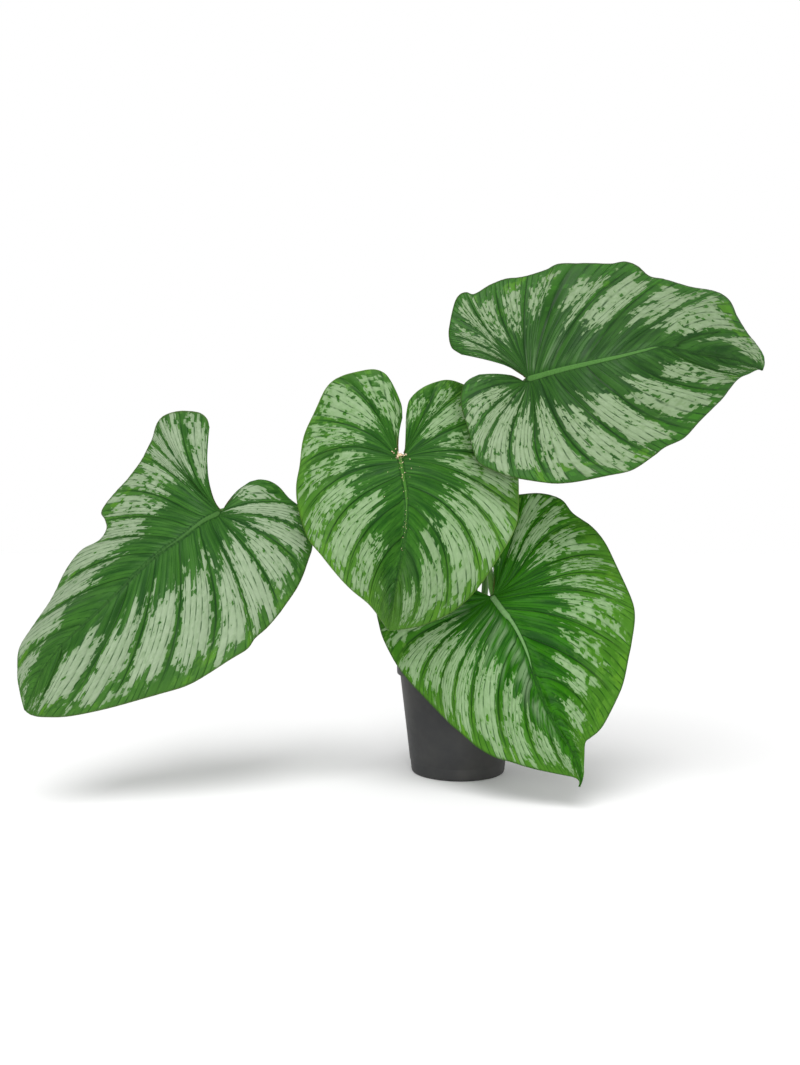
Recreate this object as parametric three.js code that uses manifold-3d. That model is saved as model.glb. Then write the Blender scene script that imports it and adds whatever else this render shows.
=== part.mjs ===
// A potted creeping philodendron: four large heart-shaped leaves on long stalks, rising from one
// thick stem that lies on the soil of a plain round pot.
// Millimetres, +Z up. The origin is the middle of the pot's flat underside, on the surface that
// the pot stands on. The leaves lean toward -Y, and +X is to the right from there.

import * as THREE from 'three';
import { mergeVertices } from 'three/addons/utils/BufferGeometryUtils.js';
import Module from 'manifold-3d';

const wasm = await Module();
wasm.setup();

// Driving dimensions

const GAP = 0.3; // between pieces that touch

const POT_HEIGHT = 205;
const POT_BASE_RADIUS = 90;
const POT_MOUTH_RADIUS = 114;
const POT_WALL = 3;
const POT_SIDES = 44;
const RIM_WIDTH = 5; // how far the rolled rim stands out
const RIM_HEIGHT = 16;
const DRAIN_HOLES = 8;
const DRAIN_RADIUS = 7;
const DRAIN_CIRCLE = 62;

const SOIL_EDGE_HEIGHT = 181;
const SOIL_MIDDLE_HEIGHT = 185;

const STEM_RADIUS = 13;
const STEM_HEIGHT = 190; // of its axis, so that it lies a little sunk in the soil
const STEM_NODES = 5; // rings where leaves stood
const NODE_SWELL = 1.6;

const STALK_FOOT_RADIUS = 9.5;
const STALK_FOOT_SHARE = 0.16; // of its length, along which a stalk widens toward the stem
const STALK_RADIUS = 6.8;
const STALK_TOP_RADIUS = 6.2;
const TIP_RADIUS = 6.8;
const TIP_END_RADIUS = 0.8;
const ROOT_RADIUS = 2.6;
const ROOT_TAPER = 0.35;

const BLADE_THICKNESS = 2;
const RIB_DEPTH = 4; // how far the midrib stands out of the underside at the stalk
const BLADE_ARCH = 16; // how far each half of a blade bulges forward

// The leaves are laid out along sight lines. The view is a front view, 800 wide and 1065 high, from
// an eye that looks level along +Y. A point is [x, y, forward]: where it lies in the view, and how
// far in front of the pot's axis it is, in millimetres.

const EYE = new THREE.Vector3(-113, -1850, 464);
const VIEW_MIDDLE = [400, 532.5];
const VIEW_FOCAL = 946.7; // view units at a distance of one

function onSightLine([x, y, forward]) {
  const distance = -EYE.y - forward;
  const right = (x - VIEW_MIDDLE[0]) * distance / VIEW_FOCAL;
  const down = (y - VIEW_MIDDLE[1]) * distance / VIEW_FOCAL;
  return new THREE.Vector3(EYE.x + right, -forward, EYE.z - down);
}

// Each blade has twelve veins a side, numbered from the notch at the stalk (0) to the tip (12).
// The first ones, the basal veins, all start at the stalk, and the rest along the midrib, crowded
// toward the stalk. Left and right are as seen from the front with the tip pointing down.
// An edge point is [vein, x, y, forward, bow], and bow is how far that vein curves to the notch.
// notchLean is where along the notch's left and right edge its bend lies, from the stalk outward.

const VEINS = 12;

const LEAVES = [
  {
    name: 'middle',
    basalVeins: 3,
    notchLean: [0.5, 0.4],
    crowding: 1.6,
    midrib: [
      [400, 457, 246], [402.5, 472, 264], [406, 493, 292], [406.5, 515, 313], [405, 533, 325],
      [403.5, 547, 328], [401, 560, 322], [397, 580, 298], [393, 605, 258], [388.5, 630, 222],
    ],
    left: [
      [0, 403.5, 417.7, 236, 0], [0.25, 401.1, 402.7, 228, 0.02], [0.6, 388, 376.5, 218, 0.05],
      [0.8, 376, 369.6, 214, 0.08], [1, 360, 371, 212, 0.1], [1.5, 337.7, 377.3, 210, 0.1],
      [1.75, 326, 387.5, 210, 0.11], [2, 316, 408.3, 212, 0.12], [2.5, 304, 436, 218, 0.12],
      [3, 299.7, 464.8, 226, 0.13], [3.5, 296, 487, 234, 0.15], [4, 298, 510, 241, 0.17],
      [4.5, 307, 538, 247, 0.18], [5, 321, 557.5, 250, 0.18], [6, 344, 584, 252, 0.18],
      [7, 363, 603, 245, 0.17], [8, 373, 614, 235, 0.15], [9, 379, 621.3, 229, 0.12],
      [10, 383, 626.4, 225, 0.08], [11, 386, 629.4, 222, 0.04], [12, 387.6, 630.9, 220, 0],
    ],
    right: [
      [0, 403.9, 421.5, 238, -0.1], [0.25, 405.4, 412, 234, -0.1], [0.4, 411, 399.5, 230, -0.08],
      [0.7, 424.2, 386.7, 224, -0.03], [1, 445, 379.8, 219, 0.03], [1.5, 464, 384.2, 217, 0.1],
      [2, 480, 393, 216, 0.12], [2.4, 497, 410, 217, 0.12], [2.8, 510, 435, 221, 0.12],
      [3.3, 517, 460, 228, 0.13], [4, 519, 490, 238, 0.15], [5, 517.5, 521, 249, 0.17],
      [5.5, 511, 538, 252, 0.18], [6, 502, 553, 254, 0.18], [7, 481, 584.5, 250, 0.18],
      [7.5, 468, 599.5, 246, 0.18], [8, 452, 612, 242, 0.17], [9, 427, 624, 234, 0.15],
      [10, 409, 628.5, 228, 0.1], [11, 397, 630.2, 223, 0.05], [12, 389.4, 631, 220, 0],
    ],
  },
  {
    name: 'left',
    basalVeins: 4,
    notchLean: [0.24, 0.5],
    crowding: 1.9,
    midrib: [
      [220, 510, 205], [202, 521, 222], [179, 539, 240], [157.8, 553.6, 254], [139, 570.5, 266],
      [101, 608.4, 285], [80, 627.3, 292], [58.9, 648.3, 297], [42, 671.5, 298], [25, 710.5, 292],
    ],
    left: [
      [0, 209.8, 427.4, 178, -0.17], [0.3, 207.3, 419, 174, -0.17], [0.6, 200, 412.6, 170, -0.16],
      [0.8, 190, 410.3, 167, -0.15], [1, 178, 410, 163, -0.13], [1.5, 164.2, 415.8, 158, -0.08],
      [2, 156, 425, 154, -0.02], [3, 151, 441, 150, 0.05], [4, 141, 460, 146, 0.09],
      [4.5, 127, 478.5, 146, 0.1], [5, 114, 493, 150, 0.1], [5.5, 101.6, 511, 157, 0.1],
      [6, 104.5, 519.5, 164, 0.1], [6.5, 106, 528.5, 170, 0.1], [7, 99, 540, 174, 0.1],
      [7.5, 81, 550.5, 178, 0.1], [8, 65, 571, 185, 0.1], [9, 49, 602, 204, 0.1],
      [10, 29, 631, 232, 0.1], [10.5, 18.5, 650, 252, 0.08], [11, 17, 674, 270, 0.05],
      [11.5, 20, 693, 282, 0.03], [12, 24, 711.2, 290, 0],
    ],
    right: [
      [0, 250.4, 481.7, 186, 0.15], [0.3, 261, 479.6, 182, 0.16], [0.5, 271.5, 481.7, 179, 0.17],
      [0.65, 279.9, 487.3, 176, 0.18], [0.8, 288.3, 497, 173, 0.19], [1, 299, 505.5, 171, 0.2],
      [1.5, 307.5, 519, 170, 0.17], [2, 312, 535, 171, 0.13], [2.5, 312.3, 547, 174, 0.1],
      [3, 309, 559, 178, 0.08], [3.5, 299, 585, 190, 0.09], [4, 284, 607, 202, 0.1],
      [4.5, 268, 626.5, 214, 0.06], [5, 255, 638.5, 223, 0.03], [5.4, 247, 649.5, 229, 0.04],
      [5.7, 230, 660, 238, 0.06], [6, 208, 674, 248, 0.08], [6.5, 186, 686, 257, 0.09],
      [7, 160, 694, 265, 0.1], [8, 112, 707.5, 278, 0.07], [9, 70, 716.3, 286, 0.05],
      [10, 43, 717.2, 290, 0.03], [11, 31, 714.8, 291, 0.02], [12, 26, 713, 291, 0],
    ],
  },
  {
    name: 'right',
    basalVeins: 5,
    notchLean: [0.45, 0.2],
    crowding: 1.8,
    midrib: [
      [527, 378.5, 288], [559, 370.3, 312], [590, 363, 332], [620, 356.3, 346], [642, 350.8, 352],
      [660, 347, 350], [690, 352, 332], [711, 356.3, 314], [739, 360.6, 288], [762.5, 367, 264],
    ],
    left: [
      [0, 479, 374, 304, 0.19], [0.4, 469.3, 379, 303, 0.15], [0.7, 462.8, 386.6, 304, 0.12],
      [0.9, 460.6, 399.6, 305, 0.1], [1.2, 462.8, 412.6, 305, 0.1], [1.5, 468.2, 430, 304, 0.1],
      [1.8, 471.4, 445, 302, 0.11], [2.1, 477, 460.5, 300, 0.12], [2.4, 486, 467, 299, 0.12],
      [3, 511, 477, 296, 0.1], [4, 546, 483, 294, 0.05], [5, 570, 482.7, 295, 0.02],
      [6, 609, 475.5, 298, 0.1], [6.5, 632, 470.3, 300, 0.12], [7, 654, 456, 302, 0.14],
      [7.5, 665, 447.5, 304, 0.13], [8, 684, 438.2, 304, 0.12], [8.5, 700, 421.3, 302, 0.12],
      [9, 714.5, 407, 297, 0.12], [9.5, 724, 397.4, 290, 0.11], [10, 737, 380.5, 279, 0.09],
      [11, 750, 373.5, 270, 0.05], [12, 763, 368.3, 262, 0],
    ],
    right: [
      [0, 461.7, 354.1, 282, -0.055], [0.4, 451.9, 347.6, 276, -0.055], [1, 448.7, 336, 270, -0.02],
      [2, 450, 322, 262, 0.06], [2.6, 454.7, 302, 252, 0.1], [3, 459.5, 294.5, 248, 0.1],
      [3.3, 466, 292.3, 246, 0.1], [3.6, 474, 294.3, 246, 0.1], [4, 490, 284.7, 240, 0.1],
      [4.5, 505, 278.8, 236, 0.06], [5, 521, 276.3, 234, 0.03], [5.5, 546, 269, 230, 0.08],
      [5.8, 559.3, 263.2, 228, 0.12], [6, 580, 262.8, 228, 0.12], [6.5, 609, 263.7, 230, 0.13],
      [7, 625, 261.1, 232, 0.14], [7.3, 637, 265, 236, 0.14], [7.6, 649, 276, 242, 0.14],
      [8, 665, 279.3, 246, 0.14], [8.5, 690, 286.6, 250, 0.13], [9, 713, 289.7, 252, 0.13],
      [9.4, 724, 294, 254, 0.12], [9.6, 731.6, 302, 255, 0.1], [9.8, 737, 315, 256, 0.09],
      [10.1, 746, 330, 257, 0.07], [11, 757, 344.5, 258, 0.05], [11.5, 763.7, 355.5, 260, 0.02],
      [12, 764.2, 366.2, 262, 0],
    ],
  },
  {
    name: 'front',
    basalVeins: 5,
    notchLean: [0.5, 0.5],
    crowding: 1.6,
    midrib: [
      [492.5, 597, 188], [502.7, 610.6, 204], [512, 622, 216], [521, 638, 232], [528, 655, 248],
      [533, 673, 260], [540, 692, 270], [549.6, 714.7, 279], [560, 733, 284], [570, 747.3, 286],
      [577, 763, 286], [580, 773, 284], [581.6, 780, 281], [580.2, 786, 277],
    ],
    left: [
      [0, 440, 564, 152, -0.1], [0.6, 418, 560, 142, -0.05], [1, 398, 572, 136, 0],
      [1.5, 379, 592, 134, 0.05], [1.8, 375.5, 607, 136, 0.08], [2, 378, 622, 139, 0.1],
      [2.5, 384, 641, 146, 0.1], [3, 398, 667, 158, 0.11], [4, 424, 697.5, 186, 0.13],
      [5, 449, 723, 212, 0.15], [5.5, 463, 735, 224, 0.15], [6, 478, 748, 236, 0.15],
      [6.5, 495, 757.5, 246, 0.15], [7, 509, 761.6, 254, 0.14], [8, 528, 767.5, 265, 0.13],
      [9, 548, 772.2, 273, 0.11], [10, 566, 775.8, 279, 0.08], [11, 575, 778, 281, 0.04],
      [11.6, 579, 781.5, 280, 0], [12, 579.3, 786.4, 277, 0],
    ],
    right: [
      [0, 490, 530, 152, 0.1], [0.5, 497, 508, 148, 0.08], [0.8, 508, 497, 148, 0.07],
      [1, 525, 493.6, 149, 0.07], [1.5, 545, 493.5, 152, 0.08], [2, 562, 499.5, 156, 0.1],
      [2.5, 573, 513, 162, 0.1], [3, 590, 525, 168, 0.11], [3.5, 603, 539.5, 175, 0.12],
      [4, 613, 557, 183, 0.12], [5, 631.5, 599, 204, 0.13], [5.5, 635, 617, 214, 0.14],
      [6, 632, 642, 226, 0.15], [6.5, 629, 657, 234, 0.15], [7, 624.5, 679, 244, 0.15],
      [7.5, 619, 695, 252, 0.14], [8, 606, 721, 264, 0.13], [8.5, 599, 731, 270, 0.12],
      [9, 591, 737.6, 276, 0.1], [9.5, 586.5, 741, 279, 0.08], [10, 585, 746, 281, 0.06],
      [11, 584.5, 757, 283, 0.03], [11.5, 584, 767, 284, 0.01], [11.8, 583.7, 776, 283, 0],
      [12, 580.9, 787, 277, 0],
    ],
  },
];

// Where each leaf stalk runs, from inside the stem to the back of its blade.

const STALK_ROUTES = {
  middle: [
    [452, 684, 6], [447, 650, 22], [436, 600, 62], [420, 545, 112], [408, 500, 168],
    [401.5, 468, 224], [400, 457, 246],
  ],
  left: [
    [438.5, 684, 0], [427, 640, 20], [392, 590, 60], [340, 548, 106], [285, 522, 148],
    [238, 511, 186], [221, 509.5, 205],
  ],
  right: [
    [465, 684, 9], [468, 640, 25], [474, 590, 56], [484, 530, 98], [498, 470, 148],
    [514, 414, 212], [524, 386, 268], [527, 379, 288],
  ],
  front: [
    [477.5, 684, 20], [481, 640, 30], [484, 602, 48], [486, 576, 80], [488, 567, 116],
    [490, 574, 154], [492, 590, 181], [493, 598, 189],
  ],
};

// The stem and its roots, as [x, y, z].

const STEM_ROUTE = [
  [-70, 14, STEM_HEIGHT - 5], [-38, 0, STEM_HEIGHT], [-12, -6, STEM_HEIGHT], [14, -9, STEM_HEIGHT],
  [38, -20, STEM_HEIGHT + 1], [58, -34, STEM_HEIGHT + 5],
];
const TIP_ROUTE = [
  [54, -31, STEM_HEIGHT + 4], [60, -38, STEM_HEIGHT + 34], [62, -48, STEM_HEIGHT + 70],
  [66, -60, STEM_HEIGHT + 108],
];
const ROOT_ROUTES = [
  [[-52, 6, 186], [-56, 24, 189], [-62, 40, 184], [-66, 48, 168]],
  [[-24, -4, 184], [-30, -22, 188], [-38, -36, 184], [-44, -44, 166]],
  [[2, -8, 186], [4, 10, 190], [12, 26, 186], [18, 34, 168]],
  [[24, -14, 186], [18, -32, 189], [14, -46, 184], [12, -54, 166]],
  [[46, -26, 188], [58, -14, 190], [70, -6, 186], [78, 0, 168]],
];

// Smooth curve through the rows of a table whose first column rises.

function readTable(table, at) {
  const last = table.length - 1;
  let row = table.findIndex((entry) => entry[0] > at) - 1;
  if (row < 0) row = last - 1;
  const slope = (column, i) => {
    const before = table[Math.max(i - 1, 0)];
    const after = table[Math.min(i + 1, last)];
    return (after[column] - before[column]) / (after[0] - before[0]);
  };
  const [start, end] = [table[row], table[row + 1]];
  const span = end[0] - start[0];
  const t = (at - start[0]) / span;
  const ease = t * t * (3 - 2 * t);
  const leave = t * (1 - t) * (1 - t) * span;
  const arrive = t * t * (t - 1) * span;
  return start.slice(1).map((value, i) => value + (end[i + 1] - value) * ease
    + slope(i + 1, row) * leave + slope(i + 1, row + 1) * arrive);
}

// A midrib's points, each with its share of the way from the stalk to the tip in front of it.

function withShares(points) {
  let length = 0;
  const shared = points.map((point, i) => {
    if (i > 0) length += Math.hypot(point[0] - points[i - 1][0], point[1] - points[i - 1][1]);
    return [length, ...point];
  });
  return shared.map(([way, ...point]) => [way / length, ...point]);
}

// The point of a blade's middle surface. across runs from -1 at the left edge to 1 at the right,
// with the midrib's strip between -STRIP and STRIP, and along from 0 at the notch to 1 at the tip.

const STRIP = 1 / 6;
const STRIP_BASE = 4; // half the strip's width in the view, at the stalk
const STRIP_TIP = 0.5;
const NOTCH_TURN = THREE.MathUtils.degToRad(70);

function veinStart(leaf, side, vein) {
  const past = Math.max(vein - leaf.basalVeins, 0) / (VEINS - leaf.basalVeins);
  const share = past ** leaf.crowding;
  const step = 0.01;
  const [x, y, forward] = readTable(leaf.ribTable, share);
  const ahead = readTable(leaf.ribTable, Math.min(share + step, 1));
  const behind = readTable(leaf.ribTable, Math.max(share - step, 0));
  const way = new THREE.Vector2(ahead[0] - behind[0], ahead[1] - behind[1]).normalize();
  const turn = NOTCH_TURN * Math.max(1 - vein / leaf.basalVeins, 0);
  const width = THREE.MathUtils.lerp(STRIP_BASE, STRIP_TIP, share);
  const outward = width * side * Math.cos(turn);
  const back = width * Math.sin(turn);
  return [x + way.y * outward - way.x * back, y - way.x * outward - way.y * back, forward];
}

function bladePoint(leaf, across, along) {
  const vein = along * VEINS;
  if (Math.abs(across) < STRIP) {
    const left = onSightLine(veinStart(leaf, -1, vein));
    return left.lerp(onSightLine(veinStart(leaf, 1, vein)), (across / STRIP + 1) / 2);
  }
  const side = Math.sign(across);
  const reach = (Math.abs(across) - STRIP) / (1 - STRIP);
  const start = veinStart(leaf, side, vein);
  const [x, y, forward, bow] = readTable(side < 0 ? leaf.left : leaf.right, vein);
  const run = [x - start[0], y - start[1]];
  const lean = leaf.notchLean[side < 0 ? 0 : 1];
  const bendAt = THREE.MathUtils.lerp(lean, 0.5, Math.min(vein / 2, 1));
  const bend = [
    start[0] + bendAt * run[0] + bow * side * run[1],
    start[1] + bendAt * run[1] - bow * side * run[0],
    (start[2] + forward) / 2 + BLADE_ARCH,
  ];
  const end = [x, y, forward];
  const place = start.map((value, i) => (1 - reach) ** 2 * value
    + 2 * reach * (1 - reach) * bend[i] + reach ** 2 * end[i]);
  return onSightLine(place);
}

// Moves every vertex of a plain closed shape to its place, and joins the vertices that coincide.

const WELD = 1e-3;

function reshape(geometry, place) {
  const plain = new THREE.BufferGeometry();
  const positions = geometry.getAttribute('position').clone();
  const vertex = new THREE.Vector3();
  for (let i = 0; i < positions.count; i += 1) {
    vertex.fromBufferAttribute(positions, i);
    const moved = place(vertex);
    positions.setXYZ(i, moved.x, moved.y, moved.z);
  }
  plain.setAttribute('position', positions);
  plain.setIndex(geometry.getIndex());
  return mergeVertices(plain, WELD);
}

// A blade is a thin slab that is bent to the leaf's shape, thicker on its underside at the midrib.

const BLADE_COLUMNS = 12;
const BLADE_ROWS = 24;

function bladeGeometry(leaf, grow = 0) {
  const slab = new THREE.BoxGeometry(2, 1, 1, BLADE_COLUMNS, BLADE_ROWS, 1);
  const step = 0.002;
  const clamp = THREE.MathUtils.clamp;
  return reshape(slab, (corner) => {
    const across = corner.x;
    const along = corner.y + 0.5;
    const sideways = bladePoint(leaf, clamp(across + step, -1, 1), along);
    sideways.sub(bladePoint(leaf, clamp(across - step, -1, 1), along)).normalize();
    const onward = bladePoint(leaf, across, clamp(along + step, 0, 1));
    onward.sub(bladePoint(leaf, across, clamp(along - step, 0, 1))).normalize();
    const under = sideways.clone().cross(onward).normalize();
    const rib = corner.z > 0 && Math.abs(across) < STRIP / 2 ? RIB_DEPTH * (1 - along) ** 0.5 : 0;
    const offset = Math.sign(corner.z) * (BLADE_THICKNESS / 2 + grow) + rib;
    const notchEdge = along === 0 ? -grow : 0;
    return bladePoint(leaf, across, along).addScaledVector(under, offset)
      .addScaledVector(onward, notchEdge);
  });
}

// A tube bent along a smooth curve through points, with closed ends.

function tubeGeometry(points, radiusAt, sides, steps) {
  const curve = new THREE.CatmullRomCurve3(points, false, 'centripetal');
  const frames = curve.computeFrenetFrames(steps, false);
  return reshape(new THREE.CylinderGeometry(1, 1, 1, sides, steps), (vertex) => {
    const share = vertex.y + 0.5;
    const step = Math.round(share * steps);
    const radius = radiusAt(share);
    return curve.getPointAt(share)
      .addScaledVector(frames.normals[step], vertex.x * radius)
      .addScaledVector(frames.binormals[step], -vertex.z * radius);
  });
}

// Solids that can be cut

function toSolid(geometry) {
  const bare = geometry.clone();
  bare.deleteAttribute('normal');
  bare.deleteAttribute('uv');
  const welded = mergeVertices(bare, WELD);
  return new wasm.Manifold(new wasm.Mesh({
    numProp: 3,
    vertProperties: Float32Array.from(welded.getAttribute('position').array),
    triVerts: Uint32Array.from(welded.getIndex().array),
  }));
}

function toGeometry(solid) {
  const mesh = solid.getMesh();
  const geometry = new THREE.BufferGeometry();
  geometry.setAttribute('position', new THREE.BufferAttribute(mesh.vertProperties, 3));
  geometry.setIndex(new THREE.BufferAttribute(mesh.triVerts, 1));
  return geometry;
}

// What is left of a solid after the cutters, without loose chips.

function cut(geometry, cutters) {
  const rest = cutters.reduce((solid, cutter) => solid.subtract(toSolid(cutter)), toSolid(geometry));
  const pieces = rest.decompose();
  const largest = pieces.reduce((best, piece) => (piece.volume() > best.volume() ? piece : best));
  return toGeometry(largest);
}

// Turns a profile of [radius, height] points about the pot's axis.

function turned(profile) {
  const points = profile.map(([radius, height]) => new THREE.Vector2(radius, height));
  return new THREE.LatheGeometry(points, POT_SIDES).rotateX(Math.PI / 2);
}

// Pot

const potRadiusAt = (height) => THREE.MathUtils.lerp(
  POT_BASE_RADIUS,
  POT_MOUTH_RADIUS,
  height / POT_HEIGHT,
);

function potGeometry() {
  const rimFoot = POT_HEIGHT - RIM_HEIGHT;
  const rimRadius = POT_MOUTH_RADIUS + RIM_WIDTH;
  const mouth = POT_MOUTH_RADIUS - POT_WALL;
  const profile = [
    [0, 0], [POT_BASE_RADIUS - 4, 0], [POT_BASE_RADIUS - 1, 1], [POT_BASE_RADIUS, 4],
    [potRadiusAt(rimFoot), rimFoot], [rimRadius - 1, rimFoot + 1], [rimRadius, POT_HEIGHT - 3],
    [rimRadius - 2, POT_HEIGHT], [mouth + 1, POT_HEIGHT], [mouth, POT_HEIGHT - 2],
    [potRadiusAt(POT_WALL) - POT_WALL, POT_WALL], [0, POT_WALL],
  ];
  const wall = turned(profile);
  const holes = [];
  for (let i = 0; i < DRAIN_HOLES; i += 1) {
    const angle = (i / DRAIN_HOLES) * 2 * Math.PI;
    const hole = new THREE.CylinderGeometry(DRAIN_RADIUS, DRAIN_RADIUS, 4 * POT_WALL, 16);
    hole.rotateX(Math.PI / 2);
    hole.translate(DRAIN_CIRCLE * Math.cos(angle), DRAIN_CIRCLE * Math.sin(angle), 0);
    holes.push(hole);
  }
  return cut(wall, holes);
}

// Soil, with the beds of what lies in it

function soilGeometry(beds) {
  const wallAt = (height) => potRadiusAt(height) - POT_WALL - GAP;
  const floor = POT_WALL + GAP;
  const profile = [
    [0, floor], [wallAt(floor), floor], [wallAt(SOIL_EDGE_HEIGHT) - 1, SOIL_EDGE_HEIGHT],
    [70, SOIL_EDGE_HEIGHT + 2], [35, SOIL_MIDDLE_HEIGHT - 1], [0, SOIL_MIDDLE_HEIGHT],
  ];
  return cut(turned(profile), beds);
}

// Stem, stalks, growing tip and roots. Each takes grow, which makes the cutter of its neighbours.

const asPoints = (route) => route.map((point) => new THREE.Vector3(...point));

function stemGeometry(grow = 0) {
  const radiusAt = (share) => {
    const roundedEnd = Math.min(1, 0.55 + 6 * Math.min(share, 1 - share));
    const swell = NODE_SWELL * Math.max(Math.cos(share * STEM_NODES * 2 * Math.PI), 0);
    return STEM_RADIUS * roundedEnd + swell + grow;
  };
  return tubeGeometry(asPoints(STEM_ROUTE), radiusAt, 14, 24);
}

function stalkGeometry(route, grow = 0) {
  const radiusAt = (share) => {
    const nearFoot = Math.max(1 - share / STALK_FOOT_SHARE, 0);
    const foot = (STALK_FOOT_RADIUS - STALK_RADIUS) * nearFoot ** 1.5;
    const taper = THREE.MathUtils.lerp(STALK_RADIUS, STALK_TOP_RADIUS, share);
    return taper + foot + grow;
  };
  return tubeGeometry(route.map(onSightLine), radiusAt, 10, 22);
}

function tipGeometry(grow = 0) {
  const body = TIP_RADIUS - TIP_END_RADIUS;
  const radiusAt = (share) => TIP_END_RADIUS + body * (1 - share) ** 0.6 + grow;
  return tubeGeometry(asPoints(TIP_ROUTE), radiusAt, 10, 12);
}

function rootGeometry(route, grow = 0) {
  const radiusAt = (share) => ROOT_RADIUS * (1 - ROOT_TAPER * share) + grow;
  return tubeGeometry(asPoints(route), radiusAt, 8, 10);
}

// Assembly

const looks = {
  pot: { color: 0x26282a, roughness: 0.62, metalness: 0 },
  soil: { color: 0x3a281c, roughness: 1, metalness: 0 },
  stem: { color: 0x5d7a3a, roughness: 0.6, metalness: 0 },
  stalk: { color: 0x4f8a3c, roughness: 0.45, metalness: 0 },
  blade: { color: 0x3c7a36, roughness: 0.4, metalness: 0 },
  root: { color: 0xa08a62, roughness: 0.85, metalness: 0 },
};

const plant = new THREE.Group();

function addMesh(name, geometry, look) {
  geometry.computeVertexNormals();
  const mesh = new THREE.Mesh(geometry, new THREE.MeshStandardMaterial(looks[look]));
  mesh.name = name;
  plant.add(mesh);
}

for (const leaf of LEAVES) {
  leaf.ribTable = withShares(leaf.midrib);
}

const stemCutter = stemGeometry(GAP);
const stalkCutters = LEAVES.map((leaf) => stalkGeometry(STALK_ROUTES[leaf.name], GAP));
const tipCutter = tipGeometry(GAP);
const rootCutters = ROOT_ROUTES.map((route) => rootGeometry(route, GAP));

addMesh('pot', potGeometry(), 'pot');
addMesh('soil', soilGeometry([stemCutter, ...stalkCutters, tipCutter, ...rootCutters]), 'soil');
addMesh('creeping_stem', stemGeometry(), 'stem');
for (const leaf of LEAVES) {
  const stalk = stalkGeometry(STALK_ROUTES[leaf.name]);
  const blade = bladeGeometry(leaf);
  const ownCutters = [stemCutter, bladeGeometry(leaf, GAP), blade];
  addMesh(`petiole_${leaf.name}`, cut(stalk, ownCutters), 'stalk');
  addMesh(`blade_${leaf.name}`, blade, 'blade');
}
addMesh('growing_tip', cut(tipGeometry(), [stemCutter, ...stalkCutters]), 'stalk');
ROOT_ROUTES.forEach((route, i) => {
  const cutters = [stemCutter, ...stalkCutters, tipCutter];
  addMesh(`anchor_root_${i + 1}`, cut(rootGeometry(route), cutters), 'root');
});

export default plant;
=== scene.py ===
# %% [markdown]
# # A potted creeping philodendron
#
# One thick stem lies on the soil of a plain round pot. Four long stalks rise from it, and each
# carries a heart-shaped leaf with silver patches. The construction, with every piece at its real
# size and place, is loaded first. Each of its nodes is then replaced by a finely modelled piece.

# %% Load the construction
import math

import bpy
import numpy as np
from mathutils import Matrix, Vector


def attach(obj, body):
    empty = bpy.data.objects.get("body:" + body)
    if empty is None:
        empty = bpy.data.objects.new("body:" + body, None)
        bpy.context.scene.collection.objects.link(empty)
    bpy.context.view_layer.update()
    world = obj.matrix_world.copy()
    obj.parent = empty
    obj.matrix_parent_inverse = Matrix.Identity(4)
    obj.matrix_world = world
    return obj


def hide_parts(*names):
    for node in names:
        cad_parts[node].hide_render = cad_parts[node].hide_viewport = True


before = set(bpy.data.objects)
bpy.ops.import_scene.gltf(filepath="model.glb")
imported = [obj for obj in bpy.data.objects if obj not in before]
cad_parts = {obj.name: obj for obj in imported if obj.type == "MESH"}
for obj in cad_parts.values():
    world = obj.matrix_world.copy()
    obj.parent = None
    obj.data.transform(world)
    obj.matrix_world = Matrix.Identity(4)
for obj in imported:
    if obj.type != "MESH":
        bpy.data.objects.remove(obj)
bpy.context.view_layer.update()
MM = 0.001

# %% [markdown]
# The camera comes first, because the leaves are laid out along its sight lines, as the photo
# shows them. It looks level at the plant from the front. A point of the view is written as
# (x, y, forward): where it lies in a view 800 wide and 1065 high, and how far in front of the
# pot's axis it is, in millimetres.

# %% Camera and sight lines
EYE = (-113, -1850, 464)  # mm
VIEW_WIDTH = 800
VIEW_HEIGHT = 1065
SENSOR = 36
LENS = 32
CLIP_END = 60  # m, beyond the floor's far edge

VIEW_FOCAL = LENS / SENSOR * VIEW_HEIGHT

bpy.ops.object.camera_add(location=[value * MM for value in EYE], rotation=(math.pi / 2, 0, 0))
camera = bpy.context.object
camera.data.lens = LENS
camera.data.sensor_width = SENSOR
camera.data.clip_end = CLIP_END
bpy.context.scene.camera = camera


def on_sight_line(points):
    """Turns view points (x, y, forward) into places in mm, one row each."""
    points = np.asarray(points, float)
    distance = -EYE[1] - points[..., 2]
    right = (points[..., 0] - VIEW_WIDTH / 2) * distance / VIEW_FOCAL
    down = (points[..., 1] - VIEW_HEIGHT / 2) * distance / VIEW_FOCAL
    return np.stack([EYE[0] + right, -points[..., 2], EYE[2] - down], -1)


print("focal length in view units", round(VIEW_FOCAL, 1))

# %% [markdown]
# Each leaf has twelve veins a side, numbered from the notch at the stalk (0) to the tip (12).
# The basal veins all start at the stalk, and the rest along the midrib, crowded toward the stalk.
# Left and right are as seen from the front with the tip pointing down. An edge row is
# (vein, x, y, forward, bow), and bow is how far that vein curves toward the notch. The two notch
# bases are where the lobes' inner edges start, beside the stalk.

# %% Outlines
VEINS = 12
OUTLINES = {}

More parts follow.
